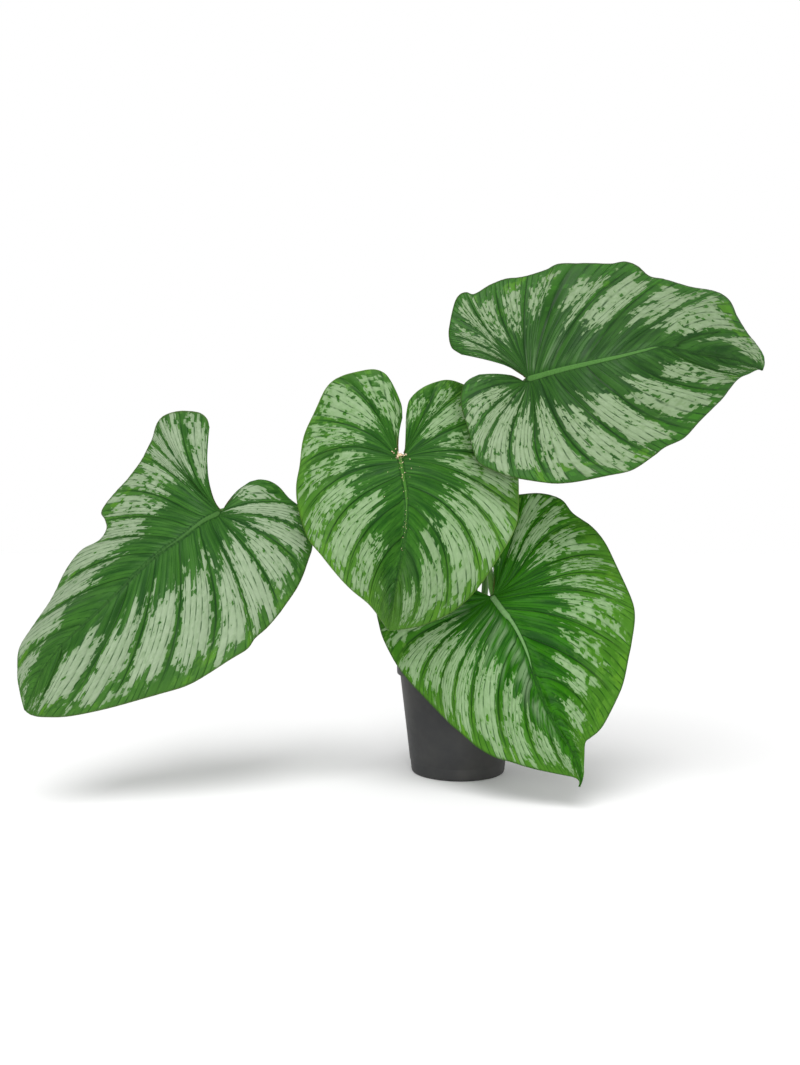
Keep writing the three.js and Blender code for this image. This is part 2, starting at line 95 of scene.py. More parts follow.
# %% Outline of the middle leaf
OUTLINES["middle"] = {
    "basal_veins": 3, "crowding": 1.6, "notch_lean": (0.5, 0.5),
    "notch_base": ((398.4, 453.5), (404.2, 454.5)),
    "midrib": [
        (400, 457, 246), (402.5, 472, 264), (406, 493, 292), (406.5, 515, 313), (405, 533, 325),
        (403.5, 547, 328), (401, 560, 322), (397, 580, 298), (393, 605, 258), (388.5, 630, 222),
    ],
    "left": [
        (0, 402.5, 417.7, 236, -0.07), (0.25, 400.9, 402.7, 228, -0.07),
        (0.6, 388, 376.5, 218, -0.03), (0.8, 376, 369.6, 214, 0.02), (1, 360, 371, 212, 0.08),
        (1.5, 337.7, 377.3, 210, 0.1), (1.75, 326, 387.5, 210, 0.11), (2, 316, 408.3, 212, 0.12),
        (2.5, 304, 436, 218, 0.12), (3, 299.7, 464.8, 226, 0.13), (3.5, 296, 487, 234, 0.15),
        (4, 298, 510, 241, 0.17), (4.5, 307, 537, 247, 0.18), (5, 321, 555, 250, 0.18),
        (6, 344, 583.3, 252, 0.18), (7, 363.5, 600, 245, 0.17), (8, 374, 610.5, 235, 0.15),
        (9, 380, 619.3, 229, 0.12), (10, 384, 625.2, 225, 0.08), (11, 386.6, 628.8, 222, 0.04),
        (12, 388, 630.7, 220, 0),
    ],
    "right": [
        (0, 405.6, 421.5, 238, -0.03), (0.25, 406.4, 412, 234, -0.07),
        (0.4, 409.6, 399.5, 230, -0.08), (0.7, 424.2, 386.7, 224, -0.03),
        (1, 445, 379.8, 219, 0.03), (1.5, 464, 384.2, 217, 0.1), (2, 480, 393, 216, 0.12),
        (2.4, 497, 410, 217, 0.12), (2.8, 510, 435, 221, 0.12), (3.3, 517, 460, 228, 0.13),
        (4, 519, 490, 238, 0.15), (5, 517.5, 521, 249, 0.17), (5.5, 511, 538, 252, 0.18),
        (6, 502, 553, 254, 0.18), (7, 481, 584.5, 250, 0.18), (7.5, 468, 599.5, 246, 0.18),
        (8, 452, 612, 242, 0.17), (9, 427, 624, 234, 0.15), (10, 409, 628.5, 228, 0.1),
        (11, 397, 630.2, 223, 0.05), (12, 389.4, 631, 220, 0),
    ],
}

# %% Outline of the left leaf
OUTLINES["left"] = {
    "basal_veins": 4, "crowding": 1.9, "notch_lean": (0.28, 0.5),
    "notch_base": ((220.8, 510.6), (222.4, 510.2)),
    "midrib": [
        (217.5, 513.5, 205), (202, 521.5, 222), (179, 539, 240), (157.8, 553.6, 254),
        (139, 570.5, 266), (101, 608.4, 285), (80, 627.3, 292), (58.9, 648.3, 297),
        (42, 671.5, 298), (24.9, 710.6, 292),
    ],
    "left": [
        (0, 209.8, 427.4, 178, -0.19), (0.3, 207.3, 419, 174, -0.19), (0.6, 200, 412.6, 170, -0.19),
        (0.8, 190, 410.3, 167, -0.18), (1, 178, 410, 163, -0.17), (1.5, 164.2, 415.8, 158, -0.13),
        (2, 156, 425, 154, -0.08), (3, 151, 441, 150, 0), (4, 141, 460, 146, 0.06),
        (4.5, 127, 478.5, 146, 0.1), (5, 114, 493, 150, 0.1), (5.5, 101.6, 511, 157, 0.1),
        (6, 104.5, 519.5, 164, 0.1), (6.5, 106, 528.5, 170, 0.1), (7, 99, 540, 174, 0.1),
        (7.5, 81, 550.5, 178, 0.1), (8, 65, 571, 185, 0.1), (9, 49, 602, 204, 0.1),
        (10, 29, 631, 232, 0.1), (10.5, 18.5, 650, 252, 0.08), (11, 17, 674, 270, 0.05),
        (11.5, 19.6, 692, 282, 0.03), (12, 23.7, 708.6, 290, 0),
    ],
    "right": [
        (0, 250.4, 481.7, 186, 0.15), (0.3, 261, 479.6, 182, 0.16), (0.5, 271.5, 481.7, 179, 0.17),
        (0.65, 279.9, 487.3, 176, 0.18), (0.8, 288.3, 497, 173, 0.19), (1, 299, 505.5, 171, 0.2),
        (1.5, 307.5, 519, 170, 0.17), (2, 312, 535, 171, 0.13), (2.5, 312.3, 547, 174, 0.1),
        (3, 309, 559, 178, 0.08), (3.5, 299, 585, 190, 0.09), (4, 284, 607, 202, 0.1),
        (4.5, 268, 626.5, 214, 0.06), (5, 255, 638.5, 223, 0.03), (5.4, 247, 649.5, 229, 0.04),
        (5.7, 230, 660, 238, 0.06), (6, 208, 674, 248, 0.08), (6.5, 186, 686, 257, 0.09),
        (7, 160, 694, 265, 0.1), (8, 112, 707.5, 278, 0.07), (9, 70, 716.3, 286, 0.05),
        (10, 43, 717.2, 290, 0.03), (11, 32, 715.4, 291, 0.02), (12, 26.6, 712.4, 291, 0),
    ],
}

# %% Outline of the right leaf
OUTLINES["right"] = {
    "basal_veins": 5, "crowding": 1.8, "notch_lean": (0.4, 0.26),
    "notch_base": ((524.5, 381.4), (525.8, 377.6)),
    "midrib": [
        (529.5, 378.6, 288), (559, 370.3, 312), (590, 363, 332), (620, 356.3, 346),
        (642, 350.8, 352), (660, 347, 350), (690, 352, 332), (711, 356.3, 314), (739, 360.6, 288),
        (762.6, 370, 262),
    ],
    "left": [
        (0, 479, 374, 304, 0.16), (0.4, 469.3, 379, 303, 0.15), (0.7, 462.8, 386.6, 304, 0.12),
        (0.9, 460.6, 399.6, 305, 0.1), (1.2, 462.8, 412.6, 305, 0.1), (1.5, 468.2, 430, 304, 0.1),
        (1.8, 471.4, 445, 302, 0.11), (2.1, 477, 460.5, 300, 0.12), (2.4, 486, 467, 299, 0.12),
        (3, 511, 477, 296, 0.1), (4, 546, 483, 294, 0.05), (5, 570, 482.7, 295, 0.02),
        (6, 609, 475.5, 298, 0.1), (6.5, 632, 470.3, 300, 0.12), (7, 654, 456, 302, 0.14),
        (7.5, 665, 447.5, 304, 0.13), (8, 684, 438.2, 304, 0.12), (8.5, 700, 421.3, 302, 0.12),
        (9, 714.5, 407, 297, 0.12), (9.5, 724, 397.4, 290, 0.11), (10, 737, 380.5, 279, 0.09),
        (11, 750, 373.5, 270, 0.05), (11.6, 757.5, 370, 265, 0), (12, 762.2, 370.4, 262, 0),
    ],
    "right": [
        (0, 461.7, 354.1, 282, -0.117), (0.4, 451.9, 347.6, 276, -0.1), (1, 448.7, 336, 270, -0.06),
        (2, 450, 322, 262, 0), (2.6, 454.7, 302, 252, 0.06), (3, 459.5, 294.5, 248, 0.1),
        (3.3, 466, 292.3, 246, 0.1), (3.6, 474, 294.3, 246, 0.1), (4, 490, 284.7, 240, 0.1),
        (4.5, 505, 278.8, 236, 0.06), (5, 521, 276.3, 234, 0.03), (5.5, 546, 269, 230, 0.08),
        (5.8, 559.3, 263.2, 228, 0.12), (6, 580, 262.8, 228, 0.12), (6.5, 609, 263.7, 230, 0.13),
        (7, 625, 261.1, 232, 0.14), (7.3, 637, 265, 236, 0.14), (7.6, 649, 276, 242, 0.14),
        (8, 665, 279.3, 246, 0.14), (8.5, 690, 286.6, 250, 0.13), (9, 713, 289.7, 252, 0.13),
        (9.4, 724, 294, 254, 0.12), (9.6, 731.6, 302, 255, 0.1), (9.8, 737, 315, 256, 0.09),
        (10.1, 746, 330, 257, 0.07), (11, 757, 344.5, 258, 0.05), (11.5, 763.7, 355.5, 260, 0.02),
        (11.8, 764.7, 364, 261, 0), (12, 763, 370.4, 262, 0),
    ],
}

# %% Outline of the front leaf
OUTLINES["front"] = {
    "basal_veins": 5, "crowding": 1.6, "notch_lean": (0.5, 0.25),
    "notch_base": ((489.5, 595.8), (492.8, 594.5)),
    "midrib": [
        (492.5, 597, 188), (502.7, 610.6, 204), (512, 622, 216), (521, 638, 232), (528, 655, 248),
        (533, 673, 260), (540, 692, 270), (549.6, 714.7, 279), (560, 733, 284), (570, 747.3, 286),
        (577, 763, 286), (580, 773, 284), (581.6, 780, 281), (579.3, 786.6, 277),
    ],
    "left": [
        (0, 440, 564, 152, -0.1), (0.6, 418, 560, 142, -0.05), (1, 398, 572, 136, 0),
        (1.5, 379, 592, 134, 0.05), (1.8, 375.5, 607, 136, 0.08), (2, 378, 622, 139, 0.1),
        (2.5, 384, 641, 146, 0.1), (3, 398, 667, 158, 0.11), (4, 424, 697.5, 186, 0.13),
        (5, 449, 723, 212, 0.15), (5.5, 463, 735, 224, 0.15), (6, 478, 748, 236, 0.15),
        (6.5, 495, 757.5, 246, 0.15), (7, 509, 761.6, 254, 0.14), (8, 528, 767.5, 265, 0.13),
        (9, 548, 772.2, 273, 0.11), (10, 566, 775.8, 279, 0.08), (11, 575, 778, 281, 0.04),
        (11.6, 579, 781.5, 280, 0), (12, 578.7, 786.8, 277, 0),
    ],
    "right": [
        (0, 490, 530, 152, -0.05), (0.5, 497, 508, 148, -0.05), (0.8, 508, 497, 148, -0.03),
        (1, 525, 493.6, 149, 0.01), (1.5, 545, 493.5, 152, 0.08), (2, 562, 499.5, 156, 0.1),
        (2.5, 573, 513, 162, 0.1), (3, 590, 525, 168, 0.11), (3.5, 603, 539.5, 175, 0.12),
        (4, 613, 557, 183, 0.12), (5, 631.5, 599, 204, 0.13), (5.5, 635, 617, 214, 0.14),
        (6, 632, 642, 226, 0.15), (6.5, 629, 657, 234, 0.15), (7, 624.5, 679, 244, 0.15),
        (7.5, 619, 695, 252, 0.14), (8, 606, 721, 264, 0.13), (8.5, 599, 731, 270, 0.12),
        (9, 591, 737.6, 276, 0.1), (9.5, 586.5, 741, 279, 0.08), (10, 585, 746, 281, 0.06),
        (11, 584.5, 757, 283, 0.03), (11.5, 584, 767, 284, 0.01), (11.8, 583.7, 776, 283, 0),
        (12, 579.9, 787.2, 277, 0),
    ],
}

# %% [markdown]
# The rows of the outline are an even net, but the real veins don't follow it quite. So the path of
# each vein, 1 to 11, is written as the net's row it crosses near the midrib, halfway, and at the
# edge. The silver lies in patches between the veins. Each half has twelve bands from the notch to
# the tip. A band's row says where its patch starts and ends on the way from the midrib (0) to the
# edge (100), and how closed it is (100) or broken up into flecks (0).

# %% Vein paths
VEIN_PATHS = {
    ("middle", "left"): [
        (1.3, 1.33, 1.5), (1.95, 2.05, 2.2), (2.65, 2.7, 3.05), (3.95, 3.93, 4.2),
        (5.1, 4.87, 5.05), (6.6, 6.1, 6.1), (8.4, 7.8, 7.4), (10.2, 9.5, 8.6), (10.9, 10.5, 9.7),
        (11.3, 11.1, 10.6), (11.7, 11.6, 11.4),
    ],
    ("middle", "right"): [
        (0.9, 0.95, 0.9), (1.75, 1.7, 1.7), (2.6, 2.5, 2.5), (3.3, 3.3, 3.5), (3.9, 4.4, 4.65),
        (5.1, 5.35, 5.9), (6.0, 6.3, 7.0), (7.1, 7.6, 8.3), (9.0, 9.2, 10.2), (10.3, 10.6, 11.1),
        (11.2, 11.4, 11.6),
    ],
    ("left", "left"): [
        (1, 1, 1), (2, 2, 2), (3, 3, 3), (4.2, 3.85, 3.8), (5.5, 5.0, 4.95), (6.4, 6.1, 6.1),
        (7.2, 7.15, 7.2), (8.0, 8.05, 8.5), (8.9, 9.15, 9.8), (10.3, 10.5, 10.9),
        (11.3, 11.3, 11.5),
    ],
    ("left", "right"): [
        (1.05, 1.05, 1.0), (2.1, 1.9, 2.1), (3.0, 3.05, 3.3), (4.1, 4.05, 4.1), (5.3, 5.0, 5.1),
        (6.1, 5.9, 6.15), (7.15, 7.05, 7.1), (8.05, 8.0, 8.1), (9.0, 9.1, 9.4), (10.8, 10.8, 10.9),
        (11.4, 11.4, 11.5),
    ],
    ("right", "left"): [
        (0.85, 0.85, 0.95), (1.7, 1.6, 1.7), (2.35, 2.15, 2.3), (3.1, 2.9, 3.1), (4.7, 4.0, 4.2),
        (6.1, 5.85, 6.1), (7.0, 7.05, 7.0), (8.2, 8.2, 8.25), (9.3, 9.45, 9.75), (10.3, 10.3, 10.5),
        (11.2, 11.2, 11.4),
    ],
    ("right", "right"): [
        (1.8, 1.0, 0.4), (2.7, 2.0, 1.0), (3.4, 2.7, 2.2), (3.9, 3.4, 3.3), (4.4, 4.15, 4.15),
        (4.95, 5.05, 5.15), (5.95, 5.95, 5.95), (6.85, 7.1, 7.3), (8.2, 8.1, 8.0), (9.1, 9.2, 9.2),
        (10.3, 10.05, 10.3),
    ],
    ("front", "left"): [
        (1.2, 1.0, 1.0), (2.4, 2.1, 2.0), (3.3, 2.85, 2.9), (4.2, 3.6, 3.8), (5.3, 4.4, 4.8),
        (5.9, 5.2, 5.3), (6.35, 5.9, 6.0), (7.6, 7.0, 7.1), (8.9, 8.5, 8.9), (10.1, 9.95, 10.4),
        (11.3, 11.2, 11.4),
    ],
    ("front", "right"): [
        (1.6, 1.15, 1.0), (2.8, 1.95, 2.0), (3.5, 2.65, 2.8), (4.1, 3.75, 4.0), (4.9, 4.4, 4.55),
        (5.5, 5.1, 5.3), (6.45, 6.35, 6.5), (7.75, 7.6, 7.6), (9.0, 8.5, 8.5), (10.3, 9.95, 10.1),
        (11.2, 11.1, 11.2),
    ],
}

# %% Silver patches
SILVER = {  # in hundredths
    ("middle", "left"): [
        (35, 96, 70), (33, 100, 85), (35, 98, 70), (30, 98, 60), (32, 100, 75), (27, 98, 90),
        (36, 96, 80), (62, 82, 30), (55, 75, 10), (50, 70, 0), (50, 70, 0), (50, 70, 0),
    ],
    ("middle", "right"): [
        (45, 92, 60), (35, 96, 60), (30, 96, 80), (33, 95, 60), (38, 98, 80), (48, 100, 100),
        (40, 97, 100), (28, 94, 95), (28, 86, 90), (36, 86, 80), (50, 72, 30), (50, 70, 0),
    ],
    ("left", "left"): [
        (45, 97, 75), (48, 100, 95), (55, 100, 90), (48, 98, 90), (50, 95, 80), (38, 95, 70),
        (50, 103, 90), (45, 103, 100), (43, 103, 95), (46, 103, 90), (50, 100, 85), (55, 98, 60),
    ],
    ("left", "right"): [
        (40, 84, 75), (10, 84, 100), (33, 88, 100), (28, 92, 85), (26, 90, 105), (34, 92, 90),
        (26, 88, 100), (28, 85, 100), (30, 90, 95), (26, 90, 95), (60, 92, 60), (45, 94, 50),
    ],
    ("right", "left"): [
        (50, 90, 35), (28, 95, 85), (17, 96, 95), (22, 96, 105), (30, 96, 100), (27, 92, 95),
        (33, 95, 95), (33, 93, 105), (28, 88, 95), (25, 95, 80), (48, 95, 70), (55, 96, 70),
    ],
    ("right", "right"): [
        (50, 85, 35), (40, 85, 80), (40, 90, 70), (38, 90, 80), (42, 95, 75), (40, 90, 75),
        (48, 93, 75), (44, 90, 80), (40, 90, 95), (40, 90, 85), (35, 92, 90), (45, 94, 80),
    ],
    ("front", "left"): [
        (40, 92, 30), (36, 96, 65), (40, 97, 80), (40, 97, 95), (40, 95, 90), (34, 97, 100),
        (35, 97, 90), (33, 96, 95), (32, 95, 85), (45, 93, 90), (40, 88, 85), (45, 86, 65),
    ],
    ("front", "right"): [
        (40, 90, 45), (45, 93, 95), (42, 90, 90), (42, 90, 85), (50, 93, 65), (44, 90, 70),
        (48, 90, 72), (42, 84, 60), (41, 74, 95), (46, 84, 85), (50, 82, 50), (50, 80, 50),
    ],
}
for half in VEIN_PATHS:
    assert len(VEIN_PATHS[half]) == VEINS - 1 and len(SILVER[half]) == VEINS
print("tables for", len(OUTLINES), "leaves and", len(SILVER), "halves")

# %% [markdown]
# A leaf's surface is a formula: a vein leaves the midrib, bends, and ends at the edge, and the
# surface bulges forward between them. Pulling so many vertices there by hand would never be even,
# so a flat grid is laid out along the formula. The same few functions also read the tables.

# %% Smooth curves through tables
FULL_TURN = 6.28  # radians, near enough for a random angle
WAVES = 7
WAVE_COUNTS = (0.5, 1.6)  # the fewest and the most waves over a length of 1


def read_table(table, at):
    """Reads a table whose first column rises, smoothly, at many places at once."""
    rows = np.asarray(table, float)
    keys = rows[:, 0]
    last = len(rows) - 1
    before = np.maximum(np.arange(last + 1) - 1, 0)
    after = np.minimum(np.arange(last + 1) + 1, last)
    slope = (rows[after] - rows[before]) / (keys[after] - keys[before])[:, None]
    row = np.clip(np.searchsorted(keys, at, side="right") - 1, 0, last - 1)
    span = keys[row + 1] - keys[row]
    t = (at - keys[row]) / span
    ease = (t * t * (3 - 2 * t))[..., None]
    leave = (t * (1 - t) ** 2 * span)[..., None]
    arrive = (t * t * (t - 1) * span)[..., None]
    value = rows[row] + (rows[row + 1] - rows[row]) * ease
    return (value + slope[row] * leave + slope[row + 1] * arrive)[..., 1:]


def with_shares(points):
    """Puts each midrib point's share of the way from the stalk to the tip in front of it."""
    points = np.asarray(points, float)
    steps = np.linalg.norm(np.diff(points[:, :2], axis=0), axis=1)
    way = np.concatenate([[0], np.cumsum(steps)])
    return np.column_stack([way / way[-1], points])


def smooth_step(low, high, value):
    share = np.clip((value - low) / (high - low), 0, 1)
    return share * share * (3 - 2 * share)


def wander(x, y, seed):
    """A smooth random field, between about -1 and 1, that repeats nowhere near."""
    rng = np.random.default_rng(seed)
    total = np.zeros(np.broadcast(x, y).shape)
    for _ in range(WAVES):
        wave = rng.uniform(*WAVE_COUNTS, 2) * rng.choice([-1, 1], 2)
        total = total + np.sin(2 * np.pi * (wave[0] * x + wave[1] * y) + rng.uniform(0, FULL_TURN))
    return total / (WAVES / 2)


# %% [markdown]
# A place on a blade has two numbers. The first says how far across it lies, from the left edge
# (-1) over the midrib (0) to the right edge (1). The second is its row, from the notch (0) to the
# tip (12). Each row is a curve with three points: where it leaves the midrib, where it bends, and
# where it meets the edge. The three points are view points, so the outline fits the photo, while
# their third number, forward, gives the leaf its depth.

# %% The surface of a blade
STRIP = 1 / 6  # the midrib's share of a half's width in the grid
STRIP_BASE = 4  # half the midrib's width in the view, at the stalk
STRIP_TIP = 0.5
LEAN_ROWS = 2  # the notch leans the bends of this many rows
BLADE_ARCH = 16  # mm, of a vein that is at least FULL_ARCH_RUN long in the view
FULL_ARCH_RUN = 70
MIDRIB_STEP = 0.01  # share of the midrib over which its direction is read


def strip_width(share):
    """Half the midrib's width in the view, at a share of its length."""
    return STRIP_BASE + (STRIP_TIP - STRIP_BASE) * share


def vein_start(leaf, side, vein):
    """Where a row leaves the midrib, and how far along the midrib that is."""
    rib = with_shares(leaf["midrib"])
    basal = leaf["basal_veins"]
    share = (np.maximum(vein - basal, 0) / (VEINS - basal)) ** leaf["crowding"]
    middle = read_table(rib, share)
    after = read_table(rib, np.minimum(share + MIDRIB_STEP, 1))
    way = (after - read_table(rib, np.maximum(share - MIDRIB_STEP, 0)))[..., :2]
    way = way / np.linalg.norm(way, axis=-1, keepdims=True)
    outward = side * strip_width(share)
    to_notch = np.maximum(1 - vein / basal, 0)
    base = leaf["notch_base"][0 if side < 0 else 1]
    x = (middle[..., 0] + way[..., 1] * outward) * (1 - to_notch) + base[0] * to_notch
    y = (middle[..., 1] - way[..., 0] * outward) * (1 - to_notch) + base[1] * to_notch
    return np.stack([x, y, middle[..., 2]], -1), share


def half_surface(leaf, side, reach, vein):
    """Places of one half, in mm, from the midrib (reach 0) to the edge (reach 1)."""
    start = vein_start(leaf, side, vein)[0]
    edge = read_table(leaf["left" if side < 0 else "right"], vein)
    end = edge[..., :3]
    bow = edge[..., 3]
    run = end - start
    lean = leaf["notch_lean"][0 if side < 0 else 1]
    bend_at = lean + (0.5 - lean) * np.minimum(vein / LEAN_ROWS, 1)
    arch = BLADE_ARCH * np.minimum(np.hypot(run[..., 0], run[..., 1]) / FULL_ARCH_RUN, 1)
    bend = np.stack([
        start[..., 0] + bend_at * run[..., 0] + bow * side * run[..., 1],
        start[..., 1] + bend_at * run[..., 1] - bow * side * run[..., 0],
        (start[..., 2] + end[..., 2]) / 2 + arch,
    ], -1)
    t = reach[..., None]
    return on_sight_line((1 - t) ** 2 * start + 2 * t * (1 - t) * bend + t ** 2 * end)


def reach_of(across):
    """How far out a place lies in its half, from the midrib strip (0) to the edge (1)."""
    return np.maximum((np.abs(across) - STRIP) / (1 - STRIP), 0)


def blade_surface(leaf, across, vein):
    """Places of the whole blade. The two halves run into each other over the midrib strip."""
    left = half_surface(leaf, -1, reach_of(across), vein)
    right = half_surface(leaf, 1, reach_of(across), vein)
    mix = np.clip((across / STRIP + 1) / 2, 0, 1)[..., None]
    return left * (1 - mix) + right * mix


# %% Which vein lies where
PATH_REACHES = (0.1, 0.5, 1.0)  # how far out the three numbers of a vein's path are read


def count_veins(paths, row, reach):
    """Which vein lies at a place of the net. Between two veins the count is a fraction."""
    near, middle, edge = PATH_REACHES
    reach = np.maximum(reach, near / 2)
    shares = (
        (reach - middle) * (reach - edge) / ((near - middle) * (near - edge)),
        (reach - near) * (reach - edge) / ((middle - near) * (middle - edge)),
        (reach - near) * (reach - middle) / ((edge - near) * (edge - middle)),
    )
    count = 0
    paths = [(0, 0, 0), *paths, (VEINS, VEINS, VEINS)]
    for lower, upper in zip(paths, paths[1:]):
        low = sum(share * value for share, value in zip(shares, lower))
        high = sum(share * value for share, value in zip(shares, upper))
        count = count + np.clip((row - low) / (high - low), 0, 1)
    return count


# %% [markdown]
# The blade isn't smooth. Every vein is sunk in a groove, and the skin between two veins swells up
# like a quilt. Fine veins make small pleats in each swelling, and the edge waves. The relief is
# worked out in millimetres and pushed the way the whole leaf faces. Along each spot's own normal
# the rows would cross where they crowd together, at the notch and the tip.

# %% Relief of a blade
MINOR_VEINS = 6  # between two veins
MINOR_SWAY = 0.35  # how unevenly they run, in fine veins
CALM_ROWS = (10.6, 11.8)  # where the relief ends toward the tip
QUILT = 0.1  # height of the swelling, as a share of the way between two veins
QUILT_LEVEL = 0.6  # the part of a swelling that lies under the plain surface
QUILT_EDGE_LOSS = 0.8
GROOVE_DEPTH = 0.5  # mm
GROOVE_WIDTH = 1.6  # mm
MINOR_PLEAT = 0.45  # mm
FULL_PLEAT_SPACING = 30  # mm
EDGE_WAVE = 2.6  # mm
RIPPLE = 2.2  # mm
EDGE_ROLL = 0.8  # mm that the very edge turns back
GUTTER_DEPTH = 0.9  # mm, of the gutter on both sides of the midrib
GUTTER_PLACE = 0.95
GUTTER_WIDTH = 0.3
MIDRIB = {  # along the midrib: (share, height in mm, half its width in the view)
    "middle": [(0, 1.0, 1.8), (0.15, 0.9, 1.5), (0.3, 0.6, 1.0), (0.45, 0.4, 0.7),
               (0.52, 0, 0.5), (1, 0, 0.3)],
    "left": [(0, 0.9, 2.6), (0.12, 0.5, 1.8), (0.27, 0.3, 0.9), (0.6, 0.25, 0.6),
             (0.8, 0.15, 0.5), (1, 0, 0.3)],
    "right": [(0, 2.2, 3.2), (0.3, 2.0, 2.2), (0.5, 1.4, 1.3), (0.57, 0, 0.6), (1, 0, 0.3)],
    "front": [(0, 3.4, 3.3), (0.118, 3.2, 3.2), (0.13, 1.8, 2.0), (0.26, 1.4, 1.6),
              (0.34, 0.8, 0.9), (0.42, 0, 0.5), (1, 0, 0.3)],
}


def minor_phase(vein, reach, seed):
    """Counts the fine veins, which run a little unevenly beside the main ones."""
    return MINOR_VEINS * vein + MINOR_SWAY * wander(vein * 0.9, reach * 0.8, seed + 3)


def midrib_at(name, share):
    """Height in mm and half width in the view of a midrib at shares of its length."""
    rows = np.array(MIDRIB[name])
    return np.interp(share, rows[:, 0], rows[:, 1]), np.interp(share, rows[:, 0], rows[:, 2])


def midrib_profile(name, across, row, share):
    """1 on the midrib's back, falling to 0 at its sides and at the notch."""
    aside = np.abs(across) / STRIP * strip_width(share) / midrib_at(name, share)[1]
    basal = OUTLINES[name]["basal_veins"]
    return np.cos(np.pi / 2 * np.clip(aside, 0, 1)) * smooth_step(0.3 * basal, basal, row)


def beside_vein(vein):
    """How far a place lies from the nearest vein. The notch's edge doesn't count as one."""
    return np.where(vein < 0.5, 0.5, np.abs(((vein + 0.5) % 1) - 0.5))


def relief(name, across, row, vein, reach, share, spacing, seed):
    """Height of the upper side over the plain surface, in mm."""
    beside = beside_vein(vein)
    calm = 1 - smooth_step(*CALM_ROWS, row)
    quilted = np.sin(np.pi * beside) ** 0.85
    quilt_here = smooth_step(0, 0.12, reach) * (1 - QUILT_EDGE_LOSS * smooth_step(0.6, 1, reach))
    height = QUILT * spacing * (quilted - QUILT_LEVEL) * quilt_here * calm
    groove = np.exp(-(beside * spacing / GROOVE_WIDTH) ** 2) * smooth_step(0, 0.05, reach)
    height -= GROOVE_DEPTH * groove * (1 - 0.6 * reach) * calm
    pleat = np.abs(np.sin(np.pi * minor_phase(vein, reach, seed))) ** 0.7 - QUILT_LEVEL
    pleat = MINOR_PLEAT * pleat * smooth_step(0.12, 0.45, reach)
    height += pleat * np.minimum(spacing / FULL_PLEAT_SPACING, 1.3)
    wave = wander(row * 0.55, 0.4 * reach, seed) * (1 - smooth_step(6, 9, row))
    height += EDGE_WAVE * wave * smooth_step(0.6, 1, reach)
    ripple = wander(row * 0.3, reach * 1.1, seed + 1) * (1 - smooth_step(9, 11.2, row))
    height += RIPPLE * ripple * smooth_step(0.1, 0.4, reach)
    height -= EDGE_ROLL * smooth_step(0.985, 1, reach) * calm
    gutter = np.exp(-((np.abs(across) / STRIP - GUTTER_PLACE) / GUTTER_WIDTH) ** 2)
    height -= GUTTER_DEPTH * gutter * (1 - share)
    return height + midrib_at(name, share)[0] * midrib_profile(name, across, row, share) ** 0.8


# %% [markdown]
# The underside carries the ribs. A Solidify modifier gives the sheet its thickness, and a vertex
# group tells it how thick: thin in the skin, thicker along each vein, thickest at the midrib.

# %% Thickness of a blade
SHEET = 0.8  # mm
RIB = 7.5
RIB_SPREAD = 1.05  # how far the midrib's underside reaches, in strips
VEIN_RIB = 2.2
VEIN_RIB_WIDTH = 2.2  # mm
THICKEST = 10.0


def thickness(name, across, row, vein, reach, spacing, share):
    ribbed = np.cos(np.pi / 2 * np.clip(np.abs(across) / (STRIP * RIB_SPREAD), 0, 1)) ** 0.8
    ribbed = ribbed * smooth_step(0, 0.9 * OUTLINES[name]["basal_veins"], row)
    vein_rib = VEIN_RIB * np.exp(-(beside_vein(vein) * spacing / VEIN_RIB_WIDTH) ** 2)
    vein_rib = vein_rib * (1 - reach) ** 0.8 * (1 - 0.6 * share) * smooth_step(0.0, 0.03, reach)
    whole = 1 - smooth_step(10.2, 11.6, row)
    return SHEET + (RIB * (1 - share) ** 0.6 * ribbed + vein_rib) * whole


# %% [markdown]
# A blade could be cut from a subdivided plane and sculpted, but its veins would then never run
# true. Instead a grid is added, and each of its vertices is moved to its own place on the leaf.
# The grid's UV map is rewritten too: it holds the count of veins, and how far out a place lies.
# The silver's limits and the fine veins are stored as attributes, so the finish follows the leaf.

# %% Helpers for pieces


def select_only(piece, *others):
    """Deselects all, selects these pieces, and makes the first the active one."""
    bpy.ops.object.select_all(action="DESELECT")
    for each in (piece, *others):
        each.select_set(True)
    bpy.context.view_layer.objects.active = piece


def apply_modifier(piece, kind, **settings):
    """Adds a modifier, sets it, and applies it."""
    select_only(piece)
    modifier = piece.modifiers.new(kind.lower(), kind)
    for key, value in settings.items():
        setattr(modifier, key, value)
    bpy.ops.object.modifier_apply(modifier=modifier.name)


def triangles(piece):
    return sum(len(face.vertices) - 2 for face in piece.data.polygons)


def add_grid(name, columns, rows):
    """Adds a flat grid. Also gives the column and the row that each vertex lies in."""
    bpy.ops.object.select_all(action="DESELECT")
    bpy.ops.mesh.primitive_grid_add(x_subdivisions=columns, y_subdivisions=rows, size=2)
    grid = bpy.context.object
    grid.name = name
    flat = np.empty(len(grid.data.vertices) * 3, np.float32)
    grid.data.vertices.foreach_get("co", flat)
    share = (flat.reshape(-1, 3) + 1) / 2
    column = np.rint(share[:, 0] * columns).astype(int)
    return grid, column, np.rint(share[:, 1] * rows).astype(int)


def lay_out(grid, places, map_name, layout):
    """Moves each vertex to its place, in mm, and writes its two layout numbers to the UV map."""
    mesh = grid.data
    mesh.vertices.foreach_set("co", (places * MM).astype(np.float32).ravel())
    corner = np.empty(len(mesh.loops), np.int32)
    mesh.loops.foreach_get("vertex_index", corner)
    mesh.uv_layers[0].name = map_name
    mesh.uv_layers[map_name].uv.foreach_set("vector", layout[corner].astype(np.float32).ravel())


